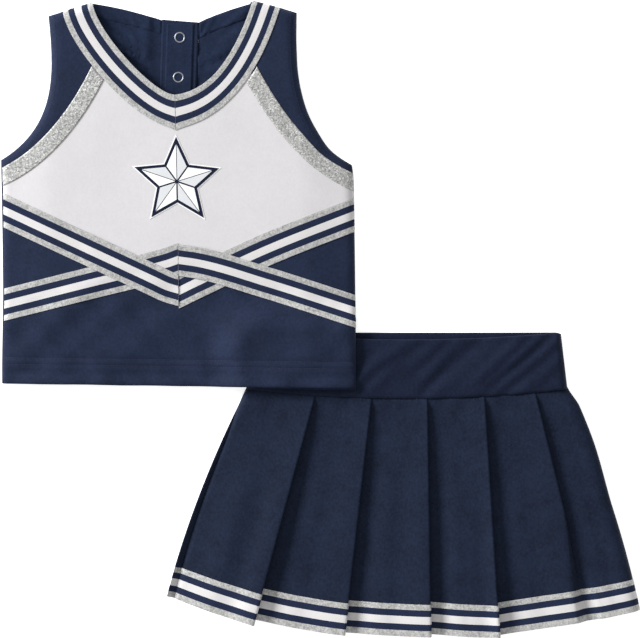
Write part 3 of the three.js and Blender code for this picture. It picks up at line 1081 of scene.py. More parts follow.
@dataclass
class CropTop:
    """The sleeveless top, drawn on its pattern and laid down.

    Attributes:
        half_width: centre to side seam.
        length: hem to neck point.
        armhole_depth: neck point down to the underarm.
        shoulder_half: centre to shoulder tip.
        shoulder_drop: fall of the shoulder.
        neck_half: centre to neck point.
        neck_depth: neck point down to the bottom of the V.
        neck_bends: what the neckline bends towards, left and right.
        back_neck_depth: neck point down to the back neckline.
        lean: lean of the neck to the left as it lies.
        tilt: tip of the sides as it lies.
        underarm_tuck: how far the right underarm is drawn in.
        front_high: height of the front cloth's upper face.
        side_high: its height at the seams.
        side_fall: how much lower it lies towards its sides.
        seam_show: seam that shows beyond the front's left edge.
        side_rolls: how far in the front rolls down to its left and right seams.
        cloth: thickness of the front cloth.
        climb: rise on the skirt's waistband.
        hem_rows: heights of the hem's two rows of stitches.
        stitched_half: reach of those rows from the centre.
        glitter_width: width of the glitter strips.
        trim_level: height of the braid's middle above the cloth.
        over: further height of the upper band where two cross.
        v_knots: points of the V band's centre line, left and right, from the centre outwards.
        peak_knots: the same for the peak band.
        placket_length: length of the placket.
        placket_half: half its width.
        placket_lean: sideways lean for each step up.
        snap_first: placket's top edge down to the first snap.
        snap_pitch: snap to snap.
        snap_count: number of snaps.
        star_middle: height of the star's middle.
        star_waist: its inner corners, as a share of its radius.
        star_radii: radius of its edging, its patch and its face.
        braid: the braid sewn on it.
    """

    half_width: float = 154.0
    length: float = 336.4
    armhole_depth: float = 141.0
    shoulder_half: float = 108.6
    shoulder_drop: float = 11.4
    neck_half: float = 69.0
    neck_depth: float = 82.0
    neck_bends: tuple[tuple[Pair, ...], ...] = (
        ((67.5, 311.4), (18.9, 254.6)),
        ((51.7, 286.3), (25.3, 256.4)),
    )
    back_neck_depth: float = 17.0
    lean: float = 6.5
    tilt: float = 2.1
    underarm_tuck: float = 2.8
    front_high: float = 8.1
    side_high: float = 2.0
    side_fall: float = 2.2
    seam_show: float = 1.7
    side_rolls: Pair = (7.0, 9.0)
    cloth: float = 0.85
    climb: float = 9.3
    hem_rows: Pair = (17.0, 22.7)
    stitched_half: float = 151.0
    glitter_width: float = 14.3
    trim_level: float = 0.4
    over: float = 0.78
    v_knots: tuple[tuple[Pair, ...], ...] = (
        ((0, 83.9), (9, 86.4), (22, 92.3), (80, 118.6), (154, 152.3)),
        ((0, 82.9), (17, 91.4), (77, 120.1), (154, 151.6)),
    )
    peak_knots: tuple[tuple[Pair, ...], ...] = (
        ((0, 110.2), (10, 106.6), (80, 88.0), (154, 68.5)),
        ((0, 109.9), (17, 107.6), (77, 91.2), (154, 67.4)),
    )
    placket_length: float = 97.0
    placket_half: float = 16.0
    placket_lean: float = 0.068
    snap_first: float = 14.3
    snap_pitch: float = 34.8
    snap_count: int = 3
    star_middle: float = 178.5
    star_waist: float = 0.47
    star_radii: Triple = (41.0, 38.8, 34.0)
    braid: Braid = field(default_factory=Braid)

    def __post_init__(self) -> None:
        """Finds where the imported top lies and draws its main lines."""
        low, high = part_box("back_panel")
        self.origin = (high.x / MM - self.half_width, low.y / MM + self.tilt)
        waist_low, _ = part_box("waistband_front")
        _, back_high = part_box("waistband_back")
        self.waist_left = waist_low.x / MM - self.origin[0]
        self.waist_upper = back_high.y / MM - self.origin[1]
        self.underarm = self.length - self.armhole_depth
        tip_y = self.length - self.shoulder_drop
        rise = tip_y - self.underarm
        self.armhole = bezier(
            [
                (self.half_width, self.underarm),
                (self.shoulder_half - 4.6, self.underarm + 0.235 * rise),
                (self.shoulder_half - 3.1, self.underarm + 0.614 * rise),
                (self.shoulder_half, tip_y),
            ],
            40,
        )
        self.shoulder = np.array([(self.shoulder_half, tip_y), (self.neck_half, self.length)])
        v_low = self.length - self.neck_depth
        self.neck = {
            side: bezier([(self.neck_half, self.length), *bends, (0, v_low)], 48)
            for side, bends in zip(Side, self.neck_bends)
        }
        self.band_lines = {
            (band, side): run_on(through(knots, 60), 30)
            for band, both in zip(Band, (self.v_knots, self.peak_knots)) for side, knots in zip(Side, both)
        }
        self.back_low = self.length - self.back_neck_depth
        self.placket_top = self.back_low - 0.3
        self.placket_end = self.placket_top - self.placket_length
        self.back_neck = {
            side: bezier(
                [(self.neck_half, self.length - drop), (0.6 * reach + 27, low + 8.6), (reach, low)], 24
            )
            for side, drop, reach, low in (
                (Side.LEFT, 0.8, 9.8, self.back_low + 0.7),
                (Side.RIGHT, 2.9, 22.6, self.back_low - 1.9),
            )
        }
        self.raglan = bezier([(65.4, 276.0), (102.6, 202.6), (self.half_width, 180.1)], 40)

    def laid(self, points: Array, height: Array | float) -> Array:
        """Pattern points where they lie.

        Args:
            points: pattern x and y.
            height: height of each point.

        Returns:
            Points in the row frame, in millimetres.
        """
        x, y = points[..., 0], points[..., 1]
        turn = np.clip((y - 200) / 125, 0, 1) * math.pi
        drop = self.tilt * np.cos(turn) * x / self.half_width
        tuck = self.underarm_tuck * np.exp(-(((y - 207) / 13) ** 2)) * smooth((x - 105) / 35)
        tuck = tuck + 1.3 * smooth((90 - y) / 80) * smooth((-x - 60) / 90)
        moved_x = x - self.lean * (y / self.length) ** 2 - tuck + self.origin[0]
        return np.stack([moved_x, y - drop + self.origin[1], np.broadcast_to(height, x.shape)], axis=-1)

    def climbed(self, points: Array) -> Array:
        """Extra height where the top lies on the skirt's waistband."""
        x, y = points[..., 0], points[..., 1]
        over = smooth((x - (self.waist_left - 36)) / 34) * smooth((self.waist_upper + 36 - y) / 34)
        return self.climb * over

    def roundness(self, points: Array) -> Array:
        """1 in the body of the front, falling to 0 at its seams and armholes."""
        right = on_right(points)
        side = rolled(self.half_width - right[..., 0], np.where(points[..., 0] < 0, *self.side_rolls))
        arm = rolled(distance_to(right, self.armhole), 9.0)
        return side * arm * rolled(distance_to(right, self.shoulder), 8.0)

    def front_height(self, points: Array) -> Array:
        """Height of the upper face of the front cloth.

        Args:
            points: pattern x and y.

        Returns:
            The height at each point.
        """
        y = points[..., 1]
        body = self.roundness(points)
        low_share = smooth((118 - y) / 50)
        soft = 0.55 * ripple(points, 46, 60, 20, 1.7) * (1 - 0.5 * low_share)
        drag = 1.9 * ripple(points, 21, 75, -44, 4.2) * low_share
        drag = drag + 1.2 * ripple(points, 17, 60, 36, 9.1) * low_share
        lane = 0.55 + 0.9 * ripple(np.stack([points[..., 0], 0 * y], axis=-1), 55, 10, 0, 6.0)
        hollow = -2.3 * np.exp(-(((y - 10.0) / 5.0) ** 2)) * lane
        lip = -1.6 * (1 - rolled(y, 3.4))
        grooves = -0.6 * sum(np.exp(-(((y - row) / 0.9) ** 2)) for row in self.hem_rows)
        fall = self.side_fall * smooth((np.abs(points[..., 0]) - 106) / 48)
        high = self.side_high + (self.front_high - self.side_high - fall) * body
        return high + body * (soft + drag + hollow + grooves) + lip * 0.8 + self.climbed(points)

    def back_height(self, points: Array) -> Array:
        """Height of the upper face of the back cloth.

        Args:
            points: pattern x and y.

        Returns:
            The height at each point.
        """
        right = on_right(points)
        clear = smooth((right[..., 0] - 16.6) / 7) * smooth((points[..., 1] - 225) / 40)
        edge = rolled(distance_to(right, self.back_neck[Side.LEFT]), 14.0)
        edge = edge * rolled(distance_to(right, self.armhole), 20.0)
        fan = np.degrees(np.arctan2(right[..., 1] - 272, right[..., 0] - 6))
        rays = np.stack([fan, np.hypot(right[..., 0], right[..., 1] - 272)], axis=-1)
        creases = 1.5 + 5.0 * ripple(rays, 6.4, 50, 0, 3.3) + 2.4 * ripple(points, 50, 13, -16, 8.8)
        creases = creases * (1.15 - 0.4 * smooth(points[..., 0] / 20))
        return 0.9 + np.clip(creases, 0, 4.4) * clear * edge + self.climbed(points)

    def on_side(self, line: Array, side: Side) -> Array:
        """A right-hand line on the given side."""
        return mirrored(line) if side is Side.LEFT else line

    def strip(self, rows: Sequence[Array], columns: int, side: Side) -> Array:
        """Right-hand lines as a grid on the given side, x growing along its first axis."""
        flat = grid_of(rows, columns)
        return mirrored(flat)[::-1] if side is Side.LEFT else flat

    def on_front(self, flat: Array, level: Array | float = 0.0) -> Array:
        """Pattern points laid on the front, at a height above the cloth."""
        return self.laid(flat, self.front_height(flat) + level)

    def build(self) -> None:
        """Builds every piece of the top."""
        self.build_front()
        self.build_back()
        self.build_placket()
        self.build_neckline()
        self.build_glitter()
        self.build_bands()
        self.build_emblem()
        self.build_seams()
        self.build_stitching()

    def build_front(self) -> None:
        """The chest, lower front and shoulder panels, cut from one outline along their seams."""
        hem = level_line(0.0, self.half_width, 104)
        hem[:, 1] += 0.5 * ripple(hem, 30, 10, 0, 2.2)
        side = upright_line(self.half_width, 0, self.underarm, 60)[1:-1]
        edge = np.vstack([side, self.armhole, evened(self.shoulder, 12)[1:-1]])
        neck = {s: evened(self.neck_rows((2.4,), s)[0], 46)[:-1] for s in Side}
        left_edge = mirrored(edge)[::-1]
        left_edge[:, 0] += self.seam_show * smooth((self.underarm + 4 - left_edge[:, 1]) / 30)
        hem[:, 0] += self.seam_show * smooth((-hem[:, 0] - 140) / 14)
        outline = np.vstack([hem, edge, neck[Side.RIGHT], mirrored(neck[Side.LEFT])[::-1], left_edge])
        keep = lambda p: np.minimum(p[:, 0] + 0.01, self.half_width + 1 - p[:, 0])
        v_seam = {s: evened(trimmed(self.band_lines[Band.V, s], keep), 56) for s in Side}
        centre = np.array([[0.0, 84.4]])
        v_whole = np.vstack([mirrored(v_seam[Side.LEFT])[::-1][:-1], centre, v_seam[Side.RIGHT][1:]])
        seam = evened(run_on(self.raglan, 1.0), 56)
        start = seam[0] + (seam[0] - seam[1]) / np.linalg.norm(seam[0] - seam[1]) * 45
        raglan = np.vstack([start, seam])
        heights = [y + d for y in self.hem_rows for d in (-0.8, 0.0, 0.8)] + [1.0, 2.2]
        rows = [level_line(y, self.stitched_half, 100) for y in heights]
        whole = Cut.fill(outline, [v_whole, raglan, mirrored(raglan)], step=3.3, rows=rows)
        middles = whole.middles()
        below = middles[:, 1] < np.interp(middles[:, 0], v_whole[:, 0], v_whole[:, 1])
        outer = (side_of(on_right(middles), raglan) > 0) & ~below
        parts = {
            "chest_cloth": (~below & ~outer, Finish.WHITE, "white_cloth"),
            "lower_front_cloth": (below, Finish.NAVY, "navy_cloth"),
            "shoulder_cloth_left": (outer & (middles[:, 0] < 0), Finish.NAVY, "navy_cloth"),
            "shoulder_cloth_right": (outer & (middles[:, 0] > 0), Finish.NAVY, "navy_cloth"),
        }
        for name, (chosen, finish, slot) in parts.items():
            cut = whole.part(chosen)
            piece(name, cut.shell(self.on_front, self.cloth), [finish], Body.TOP,
                  [name.replace("cloth", "panel")], FlatCut.of(cut, "back_panel_inside"))

    def placket_x(self, y: Array | float) -> Array:
        """Middle of the placket at a height on the pattern."""
        return self.placket_lean * (np.asarray(y, float) - self.placket_end)

    def snap_spots(self) -> list[Array]:
        """Pattern places of the snaps, from the neck down."""
        heights = [self.placket_top - self.snap_first - self.snap_pitch * i for i in range(self.snap_count)]
        return [np.array([float(self.placket_x(y)), y]) for y in heights]

    def build_back(self) -> None:
        """The back panel with its slit and snap holes, and the facing along the back neckline."""
        hem = level_line(0.0, self.half_width, 80)
        hem[:, 1] += 0.4 * ripple(hem, 34, 10, 0, 5.2) - 1.1 * smooth((hem[:, 0] - 60) / 60)
        side = upright_line(self.half_width, 0, self.underarm, 50)[1:-1]
        end, low = self.placket_end, float(self.back_neck[Side.RIGHT][-1, 1])
        slit = [(float(self.placket_x(y)) + self.placket_half + d, y)
                for y, d in ((low, 0.25), (end, 0.25), (end, -0.25), (low, -0.25))]
        edge = np.vstack([side, self.armhole, evened(self.shoulder, 10)[1:-1]])
        neck_right = self.back_neck[Side.RIGHT]
        neck_right = neck_right[neck_right[:, 0] > slit[0][0] + 0.8]
        neck_left = mirrored(self.back_neck[Side.LEFT])[::-1]
        middle = evened(np.array([(slit[3][0], low), tuple(neck_left[0])]), 9)[1:-1]
        cuts = [evened(np.array(way), 26) for way in (slit[:2], slit[2:])]
        outline = np.vstack([hem, edge, neck_right, *cuts, middle, neck_left, mirrored(edge)[::-1]])
        turns = np.linspace(0, 2 * math.pi, 20, endpoint=False)
        holes = [spot + 4.9 * np.stack([np.cos(turns), np.sin(turns)], axis=1) for spot in self.snap_spots()]
        cut = Cut.fill(outline, holes=holes, step=4.0)
        shell = cut.shell(lambda p: self.laid(p, self.back_height(p)), 0.8)
        piece("back_panel_inside", shell, [Finish.NAVY_LINING], Body.TOP, ["back_panel"],
              FlatCut.of(cut, "waistband_front_casing"))
        self.build_facings()

    def build_facings(self) -> None:
        """The facing along each half of the back neckline."""
        breadth = 12.0
        for side in Side:
            band = run_on(self.back_neck[side], 9)
            limit = abs(float(self.placket_x(self.back_low)) + (self.placket_half + 0.6) * side.value)
            keep = lambda p: np.minimum(p[:, 0] - limit, -side_of(p, self.shoulder[::-1]))
            flat = grid_of([trimmed(offset(band, w), keep) for w in np.linspace(0.4, breadth, 7)], 36)
            flat = (mirrored(flat) if side is Side.LEFT else flat[::-1])[:, ::-1]
            mid = facing_up(self.laid(flat, self.back_height(flat) + 0.2))
            piece(f"back_neck_facing_{side.word}", grid_shell(mid, 0.25), [Finish.NAVY_LINING], Body.TOP,
                  cut=FlatCut(breadth, length_of(mid[:, 0]), ("back_panel_inside",)))

    def build_placket(self) -> None:
        """The placket flap, its folded facing and the snaps."""
        end, top = self.placket_end, self.placket_top
        for name, half, low, high, level, thick, sink in (
            ("placket_cloth", self.placket_half, end, top, 1.25, 0.6, 0.0),
            ("placket_facing", self.placket_half - 4.4, end + 1, top - 1.6, 1.95, 0.55, 1.8),
        ):
            xs = np.linspace(-half, half, 23)
            ys = np.linspace(low, high, 56)
            grid = np.array([[(x, y) for y in ys] for x in xs])
            share = (grid[..., 1] - low) / (high - low)
            grid[..., 1] += share * (-0.092 * xs[:, None] - sink * (0.5 - xs[:, None] / (2 * half)) ** 1.5)
            grid[..., 0] += self.placket_x(grid[..., 1])
            bow = 0.18 * ripple(grid, 9, 60, 4, 1.1)
            mid = self.laid(grid, level + thick / 2 + bow + 0.1)
            replaced = ["placket_flap"] if name == "placket_cloth" else []
            piece(name, grid_shell(mid, thick), [Finish.NAVY_LINING], Body.PLACKET, replaced,
                  FlatCut(2 * half, high - low, ("back_panel_inside",)))
        runs = []
        for x in (-14.6, 14.6, -10.4, 10.4):
            ys = np.linspace(end + 2, top - 2, 60)
            line = np.stack([x + self.placket_x(ys), ys], axis=1)
            height = 2.05 if abs(x) > 12 else 2.65
            runs.append(stitches(self.laid(line, height), Stitch.PLACKET))
        piece("placket_stitching", Shell.joined(runs), [Finish.NAVY_THREAD], Body.PLACKET)
        self.build_snaps()

    def build_snaps(self) -> None:
        """The rings and posts of the snaps that ride on the placket, and the finish of their other halves."""
        ring = [(3.5, 2.45), (4.7, 2.45), (4.75, 2.75), (4.55, 3.0), (4.1, 3.12), (3.7, 3.0), (3.48, 2.75)]
        stud = [(0.02, 0.4), (1.7, 0.4), (2.0, 0.6), (2.0, 1.02), (2.8, 1.04), (2.85, 1.18), (0.02, 1.2)]
        for i, spot in enumerate(self.snap_spots(), start=1):
            centre = self.laid(spot[None, :], 0.0)[0]
            for name, node, profile, steps in (("ring", "inner_ring", ring, 48), ("post", "stud", stud, 32)):
                piece(f"snap_{name}_{i}", turned(profile, centre, steps), [Finish.NICKEL], Body.PLACKET,
                      [f"snap_{node}_{i}"])
            for node in (f"snap_outer_ring_{i}", f"snap_socket_{i}"):
                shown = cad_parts[node]
                shown.data.materials.clear()
                shown.data.materials.append(Finish.NICKEL.material())
                LOG.info("%s: packed node in nickel", node)

    def neck_rows(self, distances: Sequence[float], side: Side) -> list[Array]:
        """Lines beside the neckline, cut at the centre and at the shoulder.

        Args:
            distances: distance of each line outside the neckline.
            side: side of the top, drawn as if it were the right.

        Returns:
            One line for each distance, from the shoulder to the centre.
        """
        long = run_on(self.neck[side], 40)
        slope = run_on(self.shoulder, 60)
        keep = lambda p: np.minimum(p[:, 0] - 0.02, side_of(p, slope) + 0.2)
        return [trimmed(offset(long, w), keep) for w in distances]

    def neck_lying(self, flat: Array, side: Side) -> Array:
        """The neckline braid as it lies, a little narrower on the right, where it is eased round the curve.

        Args:
            flat: right-hand grid, along the neck on the first axis and outwards on the second.
            side: side of the top.

        Returns:
            The grid on its own side.
        """
        if side is Side.LEFT:
            return mirrored(flat)
        squeeze = 0.1 * smooth((flat[:, :1, 0] - 6) / 34)[..., None]
        pull = flat[:, :1] * 0.42 + flat[:, -1:] * 0.58 - flat
        return flat + pull * squeeze

    def build_neckline(self) -> None:
        """The two lengths of braid round the neckline, mitred at the V."""
        steps = self.braid.steps() + 0.2
        for side in Side:
            flat = grid_of([row[::-1] for row in self.neck_rows(steps, side)], 58)
            across = (steps / self.braid.width)[None, :]
            flat[..., 1] -= 3.5 * across * np.exp(-np.abs(flat[..., 0]) / 8.5)
            mid = facing_up(self.on_front(self.neck_lying(flat, side), self.trim_level))
            under = ("chest_cloth", f"shoulder_cloth_{side.word}")
            piece(f"neckline_trim_{side.word}", self.braid.shell(mid), self.braid.finishes, Body.TOP,
                  [f"neckline_braid_{side.word}"],
                  FlatCut(self.braid.width, length_of(mid[:, self.braid.middle_row]), under))

    def build_glitter(self) -> None:
        """The glitter strips over the seams from the neckline to the underarm."""
        half = self.glitter_width / 2
        for side in Side:
            reach = self.half_width + (0.3 if side is Side.RIGHT else 0.3 - self.seam_show)
            rows = self.glitter_rows(np.linspace(-half, half, 13), side, 0.3, reach)
            mid = facing_up(self.on_front(self.strip(rows, 60, side), 0.3))
            under = ("chest_cloth", f"shoulder_cloth_{side.word}")
            piece(f"glitter_trim_{side.word}", grid_shell(mid, 0.5), [Finish.GLITTER], Body.TOP,
                  [f"glitter_strip_{side.word}"],
                  FlatCut(self.glitter_width, length_of(mid[:, 6]), under))

    def glitter_rows(self, distances: Sequence[float], side: Side, gap: float, reach: float) -> list[Array]:
        """Lines beside the raglan seam, cut at the neckline braid and at the side.

        Args:
            distances: distance of each line from the seam.
            side: side of the top, drawn as if it were the right.
            gap: distance kept from the braid.
            reach: how far out the lines run.

        Returns:
            One line for each distance, from the neck outwards.
        """
        outer = offset(run_on(self.neck[side], 40), self.braid.width + gap)
        seam = run_on(self.raglan, 40)
        keep = lambda p: np.minimum(side_of(p, outer), reach - p[:, 0])
        return [trimmed(offset(seam, w), keep) for w in distances]

    def band_rows(self, band: Band, distances: Sequence[float], side: Side) -> list[Array]:
        """Lines beside a band's centre line, cut at the centre seam and at the side seam."""
        line = self.band_lines[band, side]
        reach = self.half_width + (0.35 if side is Side.RIGHT else 0.2 - self.seam_show)
        keep = lambda p: np.minimum(p[:, 0] - 0.08, reach - p[:, 0])
        return [trimmed(offset(line, w), keep) for w in distances]

    def band_level(self, points: Array, over: bool) -> Array:
        """Height of a band's middle above the front cloth, more where it passes over the other band."""
        x = np.abs(points[..., 0])
        return self.trim_level + (self.over * (1 - smooth((x - 72) / 16)) if over else 0.0 * x)

    def build_bands(self) -> None:
        """The V and peak bands, which cross on each side of the centre."""
        half = self.braid.width / 2
        steps = self.braid.steps() - half
        for side in Side:
            for band in Band:
                flat = self.strip(self.band_rows(band, steps, side), 74, side)
                mid = self.on_front(flat, self.band_level(flat, band.over(side)))
                size = FlatCut(self.braid.width, length_of(mid[:, self.braid.middle_row]),
                               ("chest_cloth", "lower_front_cloth"))
                piece(f"{band.value}_trim_{side.word}", self.braid.shell(mid), self.braid.finishes, Body.TOP,
                      [f"{band.value}_band_{side.word}"], size)

    def build_emblem(self) -> None:
        """The generic five-pointed star: a navy patch, and ten facets with navy lines between them, white and
        light grey-blue in turn; the grey-blue ones are painted shade, as if half of each point were turned
        from the light.
        """
        centre = np.array([0.0, self.star_middle])
        turns = [math.pi / 2 + k * math.pi / 5 for k in range(10)]
        aims = [np.array([math.cos(t), math.sin(t)]) * (self.star_waist if k % 2 else 1.0)
                for k, t in enumerate(turns)]
        sides = list(zip(aims, aims[1:] + aims[:1]))
        edging, patch, face = self.star_radii
        for name, radius, level, finish in (("emblem_edging", edging, 0.28, Finish.WHITE_INK),
                                            ("emblem_patch", patch, 0.55, Finish.NAVY_INK)):
            outline = np.vstack([evened(np.array(ends), 12)[:-1] for ends in sides])
            cut = Cut.fill(centre + radius * outline, step=2.2)
            shell = cut.shell(lambda p: self.on_front(p, level), 0.24, bulge=0.1)
            piece(name, shell, [finish], Body.TOP, ["emblem_backing"] if "patch" in name else [],
                  FlatCut.of(cut, "chest_cloth", least=0.3))
        facets, area = [], 0.0
        for k, (a, b) in enumerate(sides):
            corners = np.array([centre, centre + face * a, centre + face * b])
            middle = corners.mean(axis=0)
            inset = middle + (corners - middle) * 0.9
            ends = zip(inset, np.roll(inset, -1, axis=0))
            cut = Cut.fill(np.vstack([evened(np.array(pair), 9)[:-1] for pair in ends]), step=2.0)
            area += cut.area()
            # every other facet takes the grey-blue painted shade ink, the rest stay white
            tones = np.full(len(cut.triangles), k % 2)
            facets.append(cut.shell(lambda p: self.on_front(p, 0.78), 0.2, tones, bulge=0.1))
        width, height = 62.0, 59.0
        piece("emblem_face", Shell.joined(facets), [Finish.WHITE_INK, Finish.STAR_PAINTED_SHADE_INK], Body.TOP,
              ["emblem_star"],
              FlatCut(width, height, ("emblem_patch",), max(area, 0.31 * width * height)))

    def build_seams(self) -> None:
        """The overlocked seams at the sides and shoulders."""
        edge_x = self.half_width - 0.6
        for side in Side:
            edges = {
                f"side_seam_{side.word}": np.array([(edge_x, 2.0), (edge_x, self.underarm - 1)]),
                f"shoulder_seam_{side.word}": offset(evened(self.shoulder, 10), 1.2)[::-1],
            }
            for name, edge in edges.items():
                sign = -1 if name.startswith("shoulder") else 1
                flat = grid_of([offset(edge, w * sign) for w in np.linspace(0, 3.0, 5)], 40)
                flat = self.on_side(flat, side)
                mid = facing_up(self.laid(flat, 0.95 + 0.12 + self.climbed(flat)))
                loops = stitches(mid[:, 2] + np.array([0, 0, 0.12]), Stitch.TOP_SEAM)
                piece(name.replace("seam", "overlock"), Shell.joined([grid_shell(mid, 0.2), loops]),
                      [Finish.NAVY_THREAD], Body.TOP, [name])

    def build_stitching(self) -> None:
        """Every visible row of stitches on the top."""
        hem_rows = [
            stitches(self.on_front(level_line(y, self.stitched_half, 160)), Stitch.HEM) for y in self.hem_rows
        ]
        trim_rows, edge_rows = [], []
        inset, half = 0.9, self.braid.width / 2
        for side in Side:
            trim_rows += self.neck_stitches(side)
            edges = (-self.glitter_width / 2 + inset, self.glitter_width / 2 - inset)
            for row in self.glitter_rows(edges, side, 0.8, self.half_width - 1):
                run = self.on_front(self.on_side(evened(row, 90), side), 0.5)
                trim_rows.append(stitches(run, Stitch.TRIM))
            for band in Band:
                for row in self.band_rows(band, (-half + inset, half - inset), side):
                    flat = evened(row, 120)
                    if not band.over(side):
                        flat = flat[flat[:, 0] > 84]
                    lying = self.on_side(flat, side)
                    level = self.band_level(lying, band.over(side)) + 0.24
                    trim_rows.append(stitches(self.on_front(lying, level), Stitch.TRIM))
            inner = trimmed(offset(self.armhole, 5.5), lambda p: self.half_width - 1.5 - p[:, 0])
            run = self.on_front(self.on_side(evened(inner, 90), side))
            edge_rows.append(stitches(run, Stitch.ARMHOLE))
        for name, rows, finish, slot in (
            ("mitre", self.mitre_stitches(), Finish.GREY_THREAD, "navy_thread"),
            ("hem", hem_rows, Finish.NAVY_THREAD, "navy_thread"),
            ("trim", trim_rows, Finish.WHITE_THREAD, "striped_braid"),
            ("armhole", edge_rows, Finish.NAVY_THREAD, "navy_thread"),
        ):
            piece(f"{name}_stitching", Shell.joined(rows), [finish], Body.TOP)

    def neck_stitches(self, side: Side) -> list[Shell]:
        """The rows of stitches along the two edges of the neckline braid."""
        width = self.braid.width
        rows = self.neck_rows((0.2, 1.1, width - 0.9, width + 0.2), side)
        lying = self.neck_lying(grid_of(rows, 90)[::-1], side)
        return [stitches(self.on_front(lying[:, k], 0.66), Stitch.TRIM) for k in (1, 2)]

    def mitre_stitches(self) -> list[Shell]:
        """The short centre seams: the mitre at the V of the neck, and one across each band."""
        neck_low, half = self.length - self.neck_depth, self.braid.width / 2
        return [
            stitches(self.on_front(upright_line(0.0, low, high, 30), level), Stitch.MITRE)
            for high, low, level in (
                (neck_low - 0.6, neck_low - self.braid.width - 3.2, 0.64),
                (110 + half, 110 - half, 1.42),
                (83.4 + half, 83.4 - half, 1.42),
            )
        ]


# ---------------- the pleated skirt


@dataclass
class PleatedSkirt:
    """The knife-pleated skirt, drawn from the middle of its waist seam.

    Attributes:
        waist_half: half the width at the waist seam.
        waist_top_half: half the width at the waistband's top edge.
        waist_height: height of the waistband's back edge.
        waist_dip: dip of its front edge in the middle.
        seam_sag: fall of the waist seam in the middle.
        seam_rise: its rise to its ends.
        hem_half: half the width at the hem.
        hem_spread: back layer that shows past the front at the left of the hem.
        length: waist to hem in the middle.
        side_bulge: outward bow of the side edges.
        waist_folds: places of the folds at the waist.
        hem_folds: places of the folds at the hem.
        hem_marks: height of each pleat's hem at its left, middle and fold.
        fold_highs: height of each fold's upper face at the hem.
        hollows: place of each pleat's hollow, as a share across it, and its depth.
        lap: run of each pleat under its neighbour.
        fold_radius: radius of the cloth's middle round a fold.
        cloth: thickness of the cloth.
        elastic: flat length and width of the elastic.
        columns: grid points across a pleat's face.
        last_columns: the same for the last pleat, which has no fold.
        lead: grid points across each hidden part of a pleat.
        round_steps: grid steps round a fold.
        braid: the braid round the hem.
    """

    waist_half: float = 140.0
    waist_top_half: float = 134.5
    waist_height: float = 55.15
    waist_dip: float = 6.0
    seam_sag: float = 2.0
    seam_rise: float = 8.5
    hem_half: float = 203.0
    hem_spread: float = 7.0
    length: float = 211.5
    side_bulge: float = 5.5
    waist_folds: tuple[float, ...] = (-80.0, -31.0, 17.5, 67.3, 111.2)
    hem_folds: tuple[float, ...] = (-134.4, -55.0, 20.1, 80.2, 160.0)
    hem_marks: tuple[Triple, ...] = (
        (-177.0, -189.1, -199.5),
        (-194.8, -202.8, -208.3),
        (-206.2, -208.6, -209.6),
        (-207.6, -209.6, -210.4),
        (-208.6, -202.4, -195.9),
        (-196.7, -192.0, -186.9),
    )
    fold_highs: tuple[float, ...] = (13.8, 12.0, 13.2, 14.2, 11.6, 10.0)
    hollows: tuple[Pair, ...] = (
        (0.7, 1.5), (0.5, 0.7), (0.6, 0.4), (0.84, 2.4), (0.5, 0.7), (0.6, 0.3)
    )
    lap: float = 12.0
    fold_radius: float = 0.75
    cloth: float = 0.8
    elastic: Pair = (266.0, 42.0)
    columns: int = 30
    last_columns: int = 34
    lead: int = 5
    round_steps: int = 6
    braid: Braid = field(default_factory=lambda: Braid(stripes=(5.4, 5.6, 6.7, 5.6, 4.9), thickness=0.6))

    def __post_init__(self) -> None:
        """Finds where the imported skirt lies."""
        low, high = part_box("waistband_back")
        self.origin = ((low.x + high.x) / 2 / MM, high.y / MM - self.waist_height)
        self.waist = (-self.waist_half, *self.waist_folds, self.waist_half)
        self.hem = (-self.hem_half, *self.hem_folds, self.hem_half)
        self.last = len(self.waist_folds)

    def placed(self, points: Array) -> Array:
        """Skirt points in the row frame, in millimetres."""
        return points + np.array([self.origin[0], self.origin[1], 0.0])

    def seam_y(self, x: Array | float) -> Array:
        """The waist seam's height at x."""
        return -self.seam_sag + self.seam_rise * (np.asarray(x, float) / self.waist_half) ** 2

    def hem_y(self, x: Array | float) -> Array:
        """The back layer's hem, just behind the front hem.

        Args:
            x: distance from the middle.

        Returns:
            Its height at x.
        """
        marks = [(a + (b - a) * u, self.pleat_hem(i, u) + 2.2)
                 for i, (a, b) in enumerate(zip(self.hem, self.hem[1:])) for u in (0.25, 0.75)]
        ends = [(-self.hem_half - 9, marks[0][1] + 9.5), (self.hem_half + 1, marks[-1][1] + 4.0)]
        line = through([ends[0], *marks, ends[1]], 300)
        return np.interp(x, line[:, 0], line[:, 1])

    def pleat_hem(self, i: int, u: float) -> float:
        """The hem's height on pleat i, u from its left to its fold."""
        left, middle, right = self.hem_marks[i]
        return left * (1 - u) * (1 - 2 * u) + middle * 4 * u * (1 - u) + right * u * (2 * u - 1)

    def front_edge_y(self, x: Array | float) -> Array:
        """Height of the waistband's front top edge at x."""
        return self.waist_height - self.waist_dip * (1 - (np.asarray(x, float) / self.waist_half) ** 2)

    def back_edge_y(self, x: Array | float) -> Array:
        """Height of the waistband's back top edge at x, the same all along."""
        return np.full_like(np.asarray(x, float), self.waist_height)

    def build(self) -> None:
        """Builds every piece of the skirt."""
        self.build_waistband()
        self.build_back()
        self.build_pleats()
        self.build_seams()

    # -------- waistband

    def band_spot(self, seam_x: Array, height: Array, front: bool) -> tuple[Array, Array]:
        """A place on the waistband.

        Args:
            seam_x: x at the seam.
            height: 0 at the waist seam, 1 at the top edge.
            front: True for the front casing, False for the back one.

        Returns:
            The x and y of each point.
        """
        low = self.seam_y(seam_x)
        high = self.front_edge_y(seam_x) if front else self.back_edge_y(seam_x)
        corner = 1.1 * smooth((np.abs(seam_x) - 134.5) / 5.5) ** 2
        x = seam_x * (1 - (1 - self.waist_top_half / self.waist_half) * height)
        return x, low + (high - corner - low) * height

